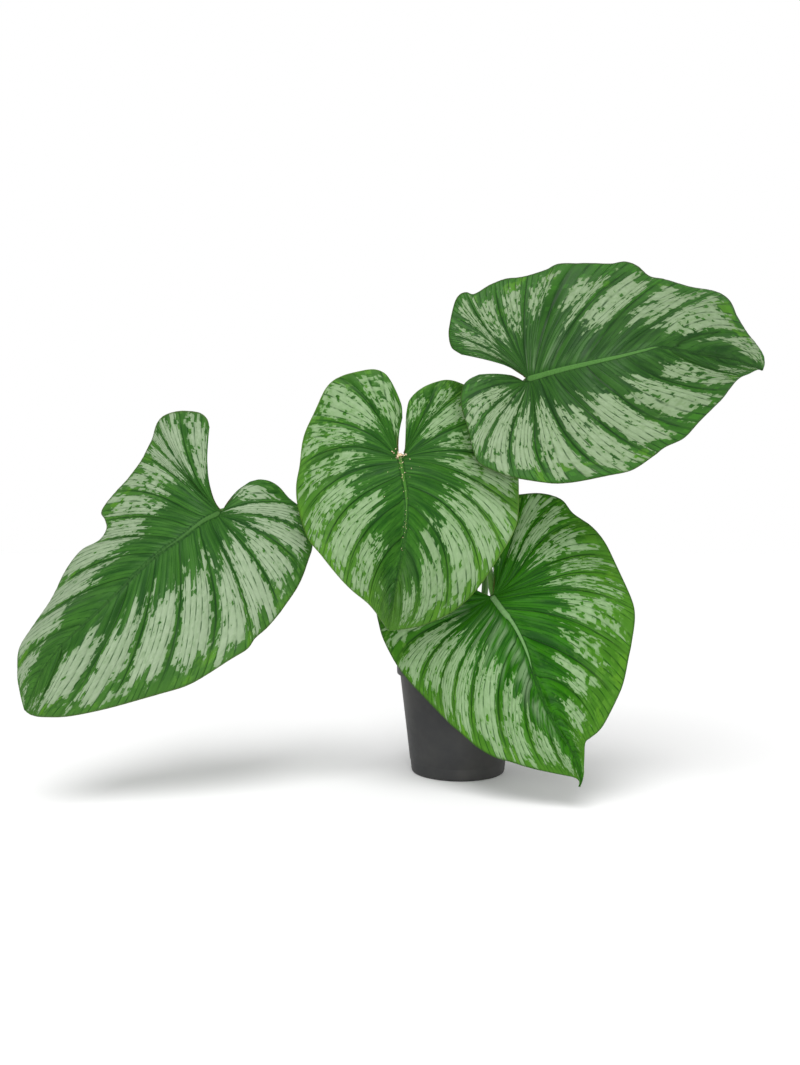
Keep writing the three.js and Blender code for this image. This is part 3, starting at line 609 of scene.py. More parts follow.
def store(piece, name, values):
    """Stores one or three numbers for each vertex, where a finish can read them."""
    kind, field = ("FLOAT", "value") if values.ndim == 1 else ("FLOAT_VECTOR", "vector")
    attribute = piece.data.attributes.new(name, kind, "POINT")
    attribute.data.foreach_set(field, values.astype(np.float32).ravel())


# %% Build a blade
ROWS = 336  # along the leaf, 28 to a vein
SIDE_COLUMNS = 44
STRIP_COLUMNS = 12
VEIN_BLOCK = 16  # added to the count of veins for each half, so that no two halves look alike
BLOCKS_A_LEAF = 3
SLOWEST_COUNT = 0.2  # of the even count, so that no spacing grows without end


def column_places():
    """Where the grid's columns lie, from the left edge (-1) to the right edge (1)."""
    side = STRIP + (1 - STRIP) * np.linspace(0, 1, SIDE_COLUMNS + 1)[1:]
    strip = np.linspace(-STRIP, STRIP, STRIP_COLUMNS + 1)
    return np.concatenate([-side[::-1], strip, side])


def steps_of(places):
    """The way the whole surface faces, and the step from each place to the next row."""
    onward = np.gradient(places, axis=0)
    normal = np.cross(onward, np.gradient(places, axis=1))
    normal /= np.linalg.norm(normal, axis=-1, keepdims=True)
    facing = normal.reshape(-1, 3).mean(axis=0)
    return facing / np.linalg.norm(facing), onward


def make_blade(name, number):
    leaf = OUTLINES[name]
    across_at = column_places()
    blade, column, row = add_grid(f"leaf_{name}", len(across_at) - 1, ROWS)
    across, net_row = np.meshgrid(across_at, np.linspace(0, VEINS, ROWS + 1))
    reach = reach_of(across)
    share = vein_start(leaf, 1, net_row)[1]
    right_half = across > 0
    vein = np.where(
        right_half,
        count_veins(VEIN_PATHS[name, "right"], net_row, reach),
        count_veins(VEIN_PATHS[name, "left"], net_row, reach),
    )
    places = blade_surface(leaf, across, net_row)
    facing, onward = steps_of(places)
    counted_on = np.maximum(np.gradient(vein, axis=0), SLOWEST_COUNT * VEINS / ROWS)
    spacing = np.linalg.norm(onward, axis=-1) / counted_on
    seed = 20 + 10 * number
    height = relief(name, across, net_row, vein, reach, share, spacing, seed)
    places += facing * height[..., None]

    depth = np.where(np.abs(across) < STRIP, np.abs(across) / STRIP - 1, reach)
    counted = vein + VEIN_BLOCK * (right_half + BLOCKS_A_LEAF * number)
    lay_out(blade, places[row, column], "veins", np.stack([counted, depth], -1)[row, column])
    bpy.ops.object.mode_set(mode="EDIT")
    bpy.ops.mesh.select_all(action="SELECT")
    bpy.ops.mesh.flip_normals()
    bpy.ops.object.mode_set(mode="OBJECT")

    patches = np.array([SILVER[name, "left"], SILVER[name, "right"]]) / 100
    band = np.clip(vein.astype(int), 0, VEINS - 1)
    store(blade, "patch", patches[right_half.astype(int), band][row, column])
    store(blade, "minor", minor_phase(vein, reach, seed)[row, column])
    back = midrib_profile(name, across, net_row, share) ** 0.6
    store(blade, "midrib", (back * np.minimum(midrib_at(name, share)[0], 1))[row, column])

    thick = blade.vertex_groups.new(name="thickness")
    weights = thickness(name, across, net_row, vein, reach, spacing, share) / THICKEST
    for index, weight in enumerate(weights[row, column]):
        thick.add([index], float(weight), "REPLACE")
    for side in ("upper side", "underside"):
        blade.data.materials.append(bpy.data.materials.new(f"{name} {side}"))
    apply_modifier(
        blade, "SOLIDIFY", thickness=THICKEST * MM, offset=-1, vertex_group="thickness",
        material_offset=1, material_offset_rim=0,
    )
    bpy.ops.object.shade_smooth()
    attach(blade, "root")
    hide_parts(f"blade_{name}")
    size = np.ptp(places.reshape(-1, 3), axis=0)
    print(blade.name, "mm", size.round(), "triangles", triangles(blade))
    return blade


blades = {name: make_blade(name, number) for number, name in enumerate(OUTLINES)}

# %% [markdown]
# A finish is a tree of shader nodes. These helpers write such a tree as plain sums, so that a
# finish reads like a recipe.

# %% Helpers for finishes


class Recipe:
    """A material whose nodes are added one after another."""

    def __init__(self, material):
        material.use_nodes = True
        self.tree = material.node_tree
        self.shader = self.tree.nodes["Principled BSDF"]

    def add(self, kind, inputs=(), output=0, **settings):
        node = self.tree.nodes.new(f"ShaderNode{kind}")
        for key, value in settings.items():
            setattr(node, key, value)
        for key, value in dict(inputs).items():
            self.feed(node.inputs[key], value)
        return node.outputs[output]

    def feed(self, socket, value):
        if isinstance(value, bpy.types.NodeSocket):
            self.tree.links.new(value, socket)
        elif value is not None:
            socket.default_value = value

    def calc(self, operation, *values):
        return self.add("Math", enumerate(values), operation=operation)

    def times(self, value, *others):
        for other in others:
            value = self.calc("MULTIPLY", value, other)
        return value

    def times_add(self, value, factor, addend):
        return self.calc("MULTIPLY_ADD", value, factor, addend)

    def ramp(self, value, low, high, start=0.0, end=1.0):
        """Goes smoothly from start, at low, to end, at high."""
        inputs = {"Value": value, "From Min": low, "From Max": high, "To Min": start, "To Max": end}
        return self.add("MapRange", inputs, interpolation_type="SMOOTHSTEP")

    def triple(self, x, y, z=0.0):
        return self.add("CombineXYZ", {"X": x, "Y": y, "Z": z})

    def split(self, triple):
        return self.add("SeparateXYZ", {"Vector": triple}).node.outputs

    def noise(self, place, scale=1.0, detail=2.0, roughness=0.5):
        inputs = {"Vector": place, "Scale": scale, "Detail": detail, "Roughness": roughness}
        return self.add("TexNoise", inputs, noise_dimensions="3D")

    def streaks(self, x, x_scale, y, y_scale, z=0.0, detail=2.0):
        """Noise over a layout. The larger a scale, the finer the noise is that way."""
        place = self.triple(self.times(x, x_scale), self.times(y, y_scale), z)
        return self.noise(place, 1.0, detail)

    def chance(self, *place):
        """A random number between 0 and 1 that is one value for each place."""
        return self.add("TexWhiteNoise", {"Vector": self.triple(*place)}, noise_dimensions="3D")

    def blend(self, share, first, second, blend_type="MIX"):
        node = self.tree.nodes.new("ShaderNodeMix")
        node.data_type = "RGBA"
        node.blend_type = blend_type
        for index, value in ((0, share), (6, first), (7, second)):
            self.feed(node.inputs[index], value)
        return node.outputs[2]

    def bump(self, height, distance, strength=1.0):
        inputs = {"Height": height, "Distance": distance, "Strength": strength}
        return self.add("Bump", inputs)

    def finish(self, color, roughness, normal=None, shine=0.5):
        self.feed(self.shader.inputs["Base Color"], color)
        self.feed(self.shader.inputs["Roughness"], roughness)
        self.feed(self.shader.inputs["Normal"], normal)
        self.shader.inputs["Specular IOR Level"].default_value = shine


def paint(red, green, blue):
    """A colour as it looks on a screen, 0 to 255, turned into light."""
    share = [value / 255 for value in (red, green, blue)]
    light = [s / 12.92 if s <= 0.04045 else ((s + 0.055) / 1.055) ** 2.4 for s in share]
    return (*light, 1.0)


# %% [markdown]
# The upper side is green with silver patches. A patch ends in steps, because the silver fills
# one small field between the finest veins and leaves out the next. So the skin is divided into
# such fields, each with its own chance of being silver, and the chance falls toward the patch's
# ends and toward the veins.

# %% Tones of the leaves
LIGHT_SHARE = 0.58  # how much of a tone on the screen is the skin's own, under this light
# Each leaf's groove tone is painted shade for its sunken main veins and the gutters beside its
# midrib, over their own darker green.
LEAF_TONES = {
    "middle": {
        "deep": (26, 80, 16), "green": (62, 122, 34), "bright": (94, 150, 50),
        "pale": (96, 148, 70), "silver": (160, 190, 142), "dull": (124, 164, 102),
        "rib": (78, 136, 48), "groove": (14, 54, 10), "edge": (120, 164, 66),
    },
    "left": {
        "deep": (34, 84, 26), "green": (66, 122, 42), "bright": (84, 138, 52),
        "pale": (100, 142, 80), "silver": (170, 192, 156), "dull": (136, 166, 120),
        "rib": (82, 132, 62), "groove": (22, 62, 18), "edge": (102, 126, 68),
    },
    "right": {
        "deep": (30, 74, 22), "green": (58, 110, 36), "bright": (66, 130, 36),
        "pale": (92, 136, 70), "silver": (158, 182, 142), "dull": (128, 158, 108),
        "rib": (88, 142, 64), "groove": (18, 54, 14), "edge": (84, 102, 56),
    },
    "front": {
        "deep": (20, 80, 4), "green": (50, 124, 4), "bright": (90, 148, 44),
        "pale": (92, 146, 56), "silver": (158, 190, 140), "dull": (118, 160, 96),
        "rib": (122, 168, 104), "groove": (10, 50, 6), "edge": (70, 112, 40),
    },
}
# The glow shares paint light shining through the thin skin toward the edge and the tip as a
# brighter green. Part of it is the lighter green of the skin there.
OUTER_GLOW = {"middle": 0.55, "left": 0.3, "right": 0.25, "front": 0.5}
MARGIN_GLOW = {"middle": 0.85, "left": 0.45, "right": 0.35, "front": 0.5}
TIP_GLOW = {"middle": 0.85, "left": 0.3, "right": 0.0, "front": 0.1}
OPENNESS = {"middle": 1.0, "left": 0.96, "right": 1.07, "front": 1.02}
SHINE = {"middle": 0.1, "left": 0.1, "right": 0.14, "front": 0.08}
SCAR_TONE = (92, 60, 40)  # the thin brown edge of the notch, beside the stalk
BLOTCH_TONE = (98, 158, 38)  # the youngest skin, in blotches near the edge
# Painted sheen: this tone and the table below paint pale streaks into the base colour where the
# skin catches a highlight.
PAINTED_SHEEN_TONE = (142, 172, 128)
PAINTED_SHEEN = {  # half (0 left, 1 right), first and last row, from and to on the way out, how strong
    "middle": [(0, 8.2, 10.8, 0.04, 0.6, 0.3), (1, 9.4, 11.2, 0.04, 0.4, 0.25)],
    "left": [],
    "right": [(1, 5.5, 8.6, 0.02, 0.26, 0.35), (1, 1.0, 3.0, 0.1, 0.4, 0.3)],
    "front": [(0, 5.4, 10.4, 0.03, 0.42, 0.6), (0, 0.6, 3.6, 0.2, 0.6, 0.35)],
}


def lit(tone):
    """A tone on the screen, as the skin's own colour under the scene's light."""
    return (*[value * LIGHT_SHARE for value in paint(*tone)[:3]], 1.0)


# %% Where a point of the skin lies
THREADS = 2.7  # small fields between two fine veins
STEPS = 26.0  # small fields from the midrib to the edge
STEP_SHIFT = 9.0  # how far two threads' steps may be shifted against each other


class Skin(Recipe):
    """A leaf's finish, which reads the numbers that are stored on the blade."""

    def __init__(self, material):
        super().__init__(material)
        layout = self.split(self.add("UVMap", uv_map="veins"))
        self.vein, self.reach = layout["X"], layout["Y"]
        self.minor = self.add("Attribute", output="Fac", attribute_name="minor")
        self.beside = self.calc("PINGPONG", self.vein, 0.5)
        self.fine_line = self.calc("PINGPONG", self.minor, 0.5)

    def find_fields(self):
        """The small fields between the finest veins, each with a chance of its own."""
        self.block = self.calc("FLOOR", self.calc("DIVIDE", self.vein, float(VEIN_BLOCK)))
        self.row = self.calc("MODULO", self.vein, float(VEIN_BLOCK))
        self.thread = self.calc("FLOOR", self.times(self.minor, THREADS))
        shift = self.times(self.chance(self.thread, self.block, 4.0), STEP_SHIFT)
        self.step = self.calc("FLOOR", self.times_add(self.reach, STEPS, shift))
        own = self.chance(self.thread, self.step, self.block)
        self.field = self.calc("SUBTRACT", own, 0.5)


# %% Where the skin is silver
START_SHARPNESS = 11.0
END_SHARPNESS = 14.0
VEIN_SHARPNESS = 11.0
VEIN_CLEARANCE = 1.15
DEEPEST = 0.9
START_RAG = 2.6  # how unevenly the strips between fine veins start, and end
END_RAG = 2.4
FIELD_WEIGHT, DRIFT_WEIGHT, TATTER_WEIGHT, CLOSED_WEIGHT = 1.1, 2.4, 3.0, 2.0


def silver_score(skin, name):
    """Above 0 where it is silver. Also gives the noise that tears the silver up."""
    patch = skin.split(skin.add("Attribute", output="Vector", attribute_name="patch"))
    start, end, closed = patch["X"], patch["Y"], patch["Z"]
    strip = skin.calc("FLOOR", skin.minor)
    early = skin.times_add(skin.chance(strip, 1.0, skin.block), START_RAG, -START_RAG / 2)
    late = skin.times_add(skin.chance(strip, 2.0, skin.block), END_RAG, -END_RAG / 2)
    past_start = skin.times_add(skin.calc("SUBTRACT", skin.reach, start), START_SHARPNESS, early)
    before_end = skin.times_add(skin.calc("SUBTRACT", end, skin.reach), END_SHARPNESS, late)
    off_vein = skin.times_add(skin.beside, VEIN_SHARPNESS, -VEIN_CLEARANCE)
    within = skin.calc("MINIMUM", skin.calc("MINIMUM", past_start, before_end), off_vein)

    drift = skin.streaks(skin.vein, 2.6, skin.reach, 7.0)
    tatter = skin.streaks(skin.minor, 1.6, skin.reach, 16.0, 3.0)
    score = skin.times_add(skin.field, FIELD_WEIGHT, skin.calc("MINIMUM", within, DEEPEST))
    score = skin.times_add(skin.calc("SUBTRACT", drift, 0.5), DRIFT_WEIGHT, score)
    score = skin.times_add(skin.calc("SUBTRACT", tatter, 0.5), TATTER_WEIGHT, score)
    open_share = skin.calc("SUBTRACT", closed, OPENNESS[name])
    return skin.times_add(open_share, CLOSED_WEIGHT, score), tatter


# %% Green skin and painted sheen
SHEEN_BORDER = 0.7  # rows over which the painted sheen fades in and out
SHEEN_IN = (-0.03, 0.05)  # where it fades in on the way out, round its start
SHEEN_OUT = (-0.2, 0.1)


def painted_sheen_share(skin, block, first, last, near, far, strength):
    """Where a painted sheen lies on the green skin: pale streaks that stand for a highlight."""
    row = skin.calc("SUBTRACT", skin.vein, VEIN_BLOCK * block)
    near_in, near_on = (near + border for border in SHEEN_IN)
    far_in, far_on = (far + border for border in SHEEN_OUT)
    streaks = skin.streaks(skin.vein, 3.2, skin.reach, 2.0, 5.0)
    return skin.times(
        skin.calc("COMPARE", skin.block, float(block), 0.5),
        skin.ramp(row, first - SHEEN_BORDER, first + SHEEN_BORDER),
        skin.ramp(row, last - SHEEN_BORDER, last + SHEEN_BORDER, 1.0, 0.0),
        skin.ramp(skin.reach, near_in, near_on),
        skin.ramp(skin.reach, far_in, far_on, 1.0, 0.0),
        skin.ramp(streaks, 0.42, 0.62, 0.0, strength),
    )


def green_skin(skin, name, tones, score, tatter):
    reach, row = skin.reach, skin.row
    stripes = skin.streaks(skin.vein, 5.0, reach, 2.2, detail=3.0)
    green = skin.blend(skin.ramp(stripes, 0.3, 0.7), tones["deep"], tones["green"])
    outer = skin.ramp(reach, 0.4, 0.8, 0.0, OUTER_GLOW[name])
    margin = skin.ramp(reach, 0.86, 1.0, 0.0, MARGIN_GLOW[name])
    flecks = skin.ramp(skin.chance(skin.thread, skin.step, 9.0), 0.80, 0.88)
    # Painted glow of light through the thin outer skin, edge and tip, partly the skin's own lighter
    # green. The flecks are the skin's own colour.
    for glow in (
        skin.times(outer, skin.ramp(row, 2.0, 5.0, 0.2, 1.0)),
        skin.ramp(row, 8.6, 11.4, 0.0, TIP_GLOW[name]),
        skin.times(margin, skin.ramp(row, 1.0, 5.0, 0.3, 1.0)),
        skin.times(flecks, skin.ramp(reach, 0.35, 0.9, 0.1, 0.8)),
    ):
        green = skin.blend(glow, green, tones["bright"])
    blotch = skin.streaks(skin.vein, 1.6, reach, 5.0, 11.0, detail=4.0)
    blotch = skin.times(skin.ramp(blotch, 0.55, 0.61), skin.ramp(reach, 0.6, 0.92, 0.0, 0.6))
    blotch = skin.times(blotch, skin.ramp(row, 2.0, 5.0))
    green = skin.blend(blotch, green, lit(BLOTCH_TONE))
    near_silver = skin.times(skin.ramp(score, -0.55, -0.1), 0.6, skin.ramp(tatter, 0.45, 0.6))
    green = skin.blend(near_silver, green, tones["pale"])
    own_block = BLOCKS_A_LEAF * list(OUTLINES).index(name)
    # Pale streaks of painted sheen, standing for a highlight, go over the green.
    for half, *spot in PAINTED_SHEEN[name]:
        sheen_here = painted_sheen_share(skin, own_block + half, *spot)
        green = skin.blend(sheen_here, green, lit(PAINTED_SHEEN_TONE))
    return green


# %% Silver skin, veins and edge


def silver_skin(skin, tones, score, grain):
    dull = skin.times_add(skin.field, 0.6, skin.ramp(score, 0.0, 0.9, 0.8, 0.1))
    silver = skin.blend(skin.calc("MAXIMUM", dull, 0.0), tones["silver"], tones["dull"])
    shade = skin.times_add(grain, 0.3, 0.85)
    return skin.blend(1.0, silver, skin.triple(shade, shade, shade), "MULTIPLY")


def draw_veins(skin, tones, color):
    """Lays the fine veins, the main veins, the midrib, the edge and the scar over a colour. The
    groove tone is painted shade in the sunken main veins and the gutters beside the midrib, over
    the veins' own darker green.
    """
    reach, row = skin.reach, skin.row
    broken = skin.noise(skin.triple(skin.minor, skin.times(reach, 9.0), 8.0))
    fine = skin.ramp(skin.fine_line, 0.03, 0.14, 1.0, 0.0)
    main = skin.ramp(skin.beside, 0.008, 0.035, 0.75, 0.0)
    main = skin.times(main, skin.ramp(reach, 0.7, 1.0, 1.0, 0.3))
    back = skin.add("Attribute", output="Fac", attribute_name="midrib")
    scar = skin.ramp(row, 0.08, 0.4, 0.9, 0.0)
    for share, tone in (
        (skin.times(fine, skin.ramp(broken, 0.42, 0.6, 0.1, 0.85)), tones["deep"]),
        # Painted shade in the main veins' grooves, over their own darker green.
        (skin.times(main, skin.ramp(row, 7.0, 10.0, 1.0, 0.5)), tones["groove"]),
        # Painted shade in the gutters beside the midrib.
        (skin.ramp(reach, -0.3, 0.04, 0.35, 0.0), tones["groove"]),
        (skin.ramp(back, 0.15, 0.6), tones["rib"]),
        (skin.ramp(reach, 0.984, 0.998, 0.0, 0.7), tones["edge"]),
        (skin.times(scar, skin.ramp(reach, 0.15, 0.45, 1.0, 0.0)), lit(SCAR_TONE)),
    ):
        color = skin.blend(share, color, tone)
    return color


# %% Finish of a leaf's upper side


def upper_side(material, name):
    tones = {key: lit(value) for key, value in LEAF_TONES[name].items()}
    skin = Skin(material)
    skin.find_fields()
    score, tatter = silver_score(skin, name)
    grain = skin.streaks(skin.minor, 2.0, skin.reach, 22.0, detail=3.0)
    color = skin.blend(
        skin.calc("GREATER_THAN", score, 0.0),
        green_skin(skin, name, tones, score, tatter),
        silver_skin(skin, tones, score, grain),
    )
    color = draw_veins(skin, tones, color)
    height = skin.times_add(grain, 0.5, skin.ramp(skin.fine_line, 0.0, 0.16))
    roughness = skin.times_add(grain, 0.16, 0.36)
    skin.finish(color, roughness, skin.bump(height, 0.0006, 0.7), shine=SHINE[name])


# %% [markdown]
# The underside has no silver. It is a paler and duller green, and its ribs are lighter still. It
# reads the same layout as the upper side, so the ribs below lie right under the veins above.

# %% Finish of a leaf's underside
UNDERSIDE_TONES = [lit((104, 148, 88)), lit((128, 166, 110))]
VEIN_RIB_TONE = (164, 190, 132)
FINE_RIB_TONE = (148, 180, 122)
MIDRIB_TONE = (160, 190, 124)


def underside(material):
    skin = Skin(material)
    stripes = skin.streaks(skin.vein, 4.0, skin.reach, 3.0, detail=3.0)
    color = skin.blend(skin.ramp(stripes, 0.3, 0.7), *UNDERSIDE_TONES)
    for share, tone in (
        (skin.ramp(skin.beside, 0.02, 0.08, 0.8, 0.0), VEIN_RIB_TONE),
        (skin.ramp(skin.fine_line, 0.04, 0.12, 0.4, 0.0), FINE_RIB_TONE),
        (skin.ramp(skin.reach, -0.3, 0.0, 1.0, 0.0), MIDRIB_TONE),
    ):
        color = skin.blend(share, color, lit(tone))
    height = skin.ramp(skin.fine_line, 0.0, 0.2, 1.0, 0.0)
    skin.finish(color, 0.55, skin.bump(height, 0.0004, 0.5), shine=0.3)


for name, blade in blades.items():
    upper_side(blade.data.materials[0], name)
    underside(blade.data.materials[1])
print("finished", len(blades), "blades")

# %% [markdown]
# Stalks, stem and roots are tubes. A curve with a bevel would make them too, but then nothing
# could vary round the tube, such as a flat side or a ring. So a grid is rolled up along a smooth
# route instead. Its long edges are merged, its ends are filled, and its layout keeps (round, along)
# for the finish.

# %% Roll a grid into a tube
ROUTE_SAMPLES = 1200
DOUBLES = 0.00001  # m, within which two vertices are one
WRAP_UNIT = 100  # mm along a tube that count as 1 in its layout


def smooth_route(points, steps):
    """Evenly spaced places along a smooth curve through points, in mm."""
    points = np.asarray(points, float)
    gaps = np.linalg.norm(np.diff(points, axis=0), axis=1) ** 0.5
    keys = np.concatenate([[0], np.cumsum(gaps)])
    dense = read_table(np.column_stack([keys, points]), np.linspace(0, keys[-1], ROUTE_SAMPLES))
    way = np.concatenate([[0], np.cumsum(np.linalg.norm(np.diff(dense, axis=0), axis=1))])
    even = np.linspace(0, way[-1], steps + 1)
    return np.stack([np.interp(even, way, dense[:, axis]) for axis in range(3)], -1), way[-1]


def frames_along(route, up):
    """Two directions across the route at each step. The second keeps as near to up as it can."""
    onward = np.gradient(route, axis=0)
    onward /= np.linalg.norm(onward, axis=1, keepdims=True)
    side = np.cross(onward, np.asarray(up, float))
    side /= np.linalg.norm(side, axis=1, keepdims=True)
    return side, np.cross(side, onward)


def close_tube(tube):
    """Merges the long edges, fills both ends, and turns all faces outwards."""
    select_only(tube)
    bpy.ops.object.mode_set(mode="EDIT")
    bpy.ops.mesh.select_all(action="SELECT")
    bpy.ops.mesh.remove_doubles(threshold=DOUBLES)
    bpy.ops.mesh.select_all(action="DESELECT")
    bpy.ops.mesh.select_mode(type="EDGE")
    bpy.ops.mesh.select_non_manifold()
    bpy.ops.mesh.edge_face_add()
    bpy.ops.mesh.select_all(action="SELECT")
    bpy.ops.mesh.normals_make_consistent(inside=False)
    bpy.ops.mesh.select_mode(type="VERT")
    bpy.ops.object.mode_set(mode="OBJECT")
    bpy.ops.object.shade_smooth()


def roll_tube(name, points, section, up=(0, 0, 1), round_steps=28, steps=90):
    """section(angle, share) gives the radius in mm. Angle 0 is the side that faces up."""
    route, length = smooth_route(points, steps)
    side, top = frames_along(route, up)
    tube, column, row = add_grid(name, round_steps, steps)
    angle = (column % round_steps) / round_steps * 2 * np.pi
    share = row / steps
    across = np.sin(angle)[:, None] * side[row] + np.cos(angle)[:, None] * top[row]
    places = route[row] + section(angle, share)[:, None] * across
    wrap = np.stack([column / round_steps, share * length / WRAP_UNIT], -1)
    lay_out(tube, places, "wrap", wrap)
    close_tube(tube)
    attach(tube, "root")
    print(name, "length mm", round(length), "triangles", triangles(tube))
    return tube


# %% [markdown]
# A leaf stalk is nearly round, with a shallow channel along its upper side. It widens into a
# short sheath where it clasps the stem, and runs on under the blade as the midrib's root.

# %% Leaf stalks
STALK_ROUTES = {
    "middle": [
        (452, 684, 6), (447, 650, 22), (436, 600, 62), (420, 545, 112), (408, 500, 168),
        (401, 468, 218), (400.4, 460.5, 232), (401.2, 464.5, 244), (402.3, 471, 258.5),
    ],
    "left": [
        (438.5, 684, 0), (427, 640, 20), (392, 590, 60), (340, 548, 106), (285, 522, 148),
        (238, 510, 178), (222, 511.5, 186), (212.5, 516, 200.5), (204.5, 520.2, 215.5),
    ],
    "right": [
        (465, 684, 9), (468, 640, 25), (474, 590, 56), (484, 530, 98), (498, 470, 148),
        (514, 414, 208), (523, 387, 254), (528, 380.5, 268), (536, 376.8, 284), (545, 374.2, 299.5),
    ],
    "front": [
        (477.5, 684, 20), (481, 640, 30), (484, 602, 48), (486, 576, 80), (488, 567, 116),
        (490, 574, 150), (492, 588, 168), (495.5, 600.5, 182), (500.5, 607.8, 198.5),
    ],
}
STALK_FOOT_RADIUS = 9.5  # mm
STALK_FOOT_SHARE = 0.16
STALK_RADIUS = 6.8
STALK_TOP_RADIUS = 6.2
STALK_END = 0.965  # the share of its length from which a stalk narrows, under the midrib
STALK_END_LOSS = 0.75
CHANNEL_DEPTH = 0.9  # mm
CHANNEL_WIDTH = 0.42  # radians


def from_top(angle):
    """How far round a tube an angle lies from its upper side, in radians."""
    return np.minimum(angle, 2 * np.pi - angle)


def stalk_section(seed):
    def section(angle, share):
        foot = np.maximum(1 - share / STALK_FOOT_SHARE, 0) ** 1.5
        radius = STALK_RADIUS + (STALK_TOP_RADIUS - STALK_RADIUS) * share
        radius = radius + (STALK_FOOT_RADIUS - STALK_RADIUS) * foot
        radius = radius * (1 + 0.02 * wander(share * 9, 0, seed))
        channel = np.exp(-(from_top(angle) / CHANNEL_WIDTH) ** 2)
        radius = radius - CHANNEL_DEPTH * channel * smooth_step(0.12, 0.3, share)
        return radius * (1 - STALK_END_LOSS * smooth_step(STALK_END, 1, share) ** 2)
    return section


stalks = {}
for number, (name, route) in enumerate(STALK_ROUTES.items()):
    stalk = roll_tube(f"stalk_{name}", on_sight_line(route), stalk_section(number), steps=110)
    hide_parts(f"petiole_{name}")
    stalks[name] = stalk

# %% [markdown]
# The stem creeps over the soil. It is ringed where leaves stood, and between two rings its skin
# is a little swollen. At its front end the next leaf waits in a long pointed sheath.

# %% Stem, growing tip and roots
STEM_RADIUS = 13  # mm
STEM_HEIGHT = 190
STEM_RINGS = 9
RING_WIDTH = 0.05  # as a share of the way between two rings
RING_DEPTH = 1.3  # mm
LIP_PLACE = 0.09
LIP_HEIGHT = 0.9
TIP_END_RADIUS = 0.7
TIP_SWELLING = 6.0
TIP_EDGE = 0.7  # how high the sheath's keel stands
TIP_SEAM = 0.9
ROOT_RADIUS = 2.6
STEM_ROUTE = [
    (-70, 14, STEM_HEIGHT - 5), (-38, 0, STEM_HEIGHT), (-12, -6, STEM_HEIGHT),
    (14, -9, STEM_HEIGHT), (38, -20, STEM_HEIGHT + 1), (58, -34, STEM_HEIGHT + 5),
]
TIP_ROUTE = [
    (54, -31, STEM_HEIGHT + 4), (60, -38, STEM_HEIGHT + 34), (62, -48, STEM_HEIGHT + 70),
    (66, -60, STEM_HEIGHT + 108),
]
ROOT_ROUTES = [
    [(-52, 6, 186), (-56, 24, 189), (-62, 40, 184), (-66, 48, 168)],
    [(-24, -4, 184), (-30, -22, 188), (-38, -36, 184), (-44, -44, 166)],
    [(2, -8, 186), (4, 10, 190), (12, 26, 186), (18, 34, 168)],
    [(24, -14, 186), (18, -32, 189), (14, -46, 184), (12, -54, 166)],
    [(46, -26, 188), (58, -14, 190), (70, -6, 186), (78, 0, 168)],
]


def stem_section(angle, share):
    place = share * STEM_RINGS
    past_ring = place - np.rint(place)
    groove = np.exp(-(np.abs(past_ring) / RING_WIDTH) ** 2)
    lip = np.exp(-((past_ring - LIP_PLACE) / RING_WIDTH) ** 2)
    rounded = np.minimum(1, 0.25 + 5 * np.minimum(share, 1 - share)) ** 0.6
    body = STEM_RADIUS * rounded + 0.5 * wander(share * 4, np.sin(angle) * 0.4, 5)
    return body - RING_DEPTH * groove + LIP_HEIGHT * lip + 0.5 * np.sin(np.pi * (place % 1))


def tip_section(angle, share):
    keel = np.exp(-(from_top(angle) / 0.3) ** 2)
    seam = np.exp(-((angle - np.pi) / 0.16) ** 2)
    belly = 0.9 + 0.35 * np.sin(np.pi * np.minimum(share * 1.6, 1))
    body = TIP_END_RADIUS + TIP_SWELLING * (1 - share) ** 0.62 * belly
    return body + TIP_EDGE * keel * (1 - share) - TIP_SEAM * seam * (1 - share)


def root_section(angle, share):
    uneven = 1 + 0.08 * wander(share * 5, np.cos(angle) * 0.3, 9)
    return ROOT_RADIUS * (1 - 0.35 * share) * uneven


stem = roll_tube("stem", STEM_ROUTE, stem_section, round_steps=48, steps=180)
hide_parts("creeping_stem")
tip = roll_tube("next_leaf_sheath", TIP_ROUTE, tip_section, up=(0, 1, 0.2), steps=70)
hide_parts("growing_tip")
roots = []
for number, route in enumerate(ROOT_ROUTES, 1):
    name = f"root_{number}"
    root = roll_tube(name, route, root_section, up=(0.3, 0.2, 1), round_steps=14, steps=40)
    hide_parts(f"anchor_root_{number}")
    roots.append(root)

# %% [markdown]
# The pot is turned: one outline, from the middle of its floor up the outside and down the
# inside, is spun round the axis. Then eight drain holes are cut through the floor.

# %% Pot
POT_HEIGHT = 205  # mm
POT_BASE_RADIUS = 90
POT_MOUTH_RADIUS = 114
POT_WALL = 3
POT_EDGE = math.radians(32)  # an edge of the pot that is sharper than this stays sharp
RIM_WIDTH = 5
RIM_HEIGHT = 16
DRAIN_HOLES = 8
DRAIN_RADIUS = 7
DRAIN_RING = 62


def pot_radius(height):
    return POT_BASE_RADIUS + (POT_MOUTH_RADIUS - POT_BASE_RADIUS) * height / POT_HEIGHT


def turn_outline(name, outline, steps=128):
    """Spins an outline of (radius, height) points that starts and ends on the axis."""
    bpy.ops.object.select_all(action="DESELECT")
    bpy.ops.mesh.primitive_circle_add(vertices=len(outline), radius=1)
    piece = bpy.context.object
    piece.name = name
    for vertex, (radius, height) in zip(piece.data.vertices, outline):
        vertex.co = (radius * MM, 0, height * MM)
    bpy.ops.object.mode_set(mode="EDIT")
    bpy.ops.mesh.select_all(action="SELECT")
    bpy.ops.mesh.spin(steps=steps, angle=2 * math.pi, center=(0, 0, 0), axis=(0, 0, 1))
    bpy.ops.mesh.select_all(action="SELECT")
    bpy.ops.mesh.remove_doubles(threshold=DOUBLES)
    bpy.ops.mesh.delete_loose(use_verts=True, use_edges=True, use_faces=False)
    bpy.ops.mesh.select_all(action="SELECT")
    bpy.ops.mesh.normals_make_consistent(inside=False)
    bpy.ops.object.mode_set(mode="OBJECT")
    return piece


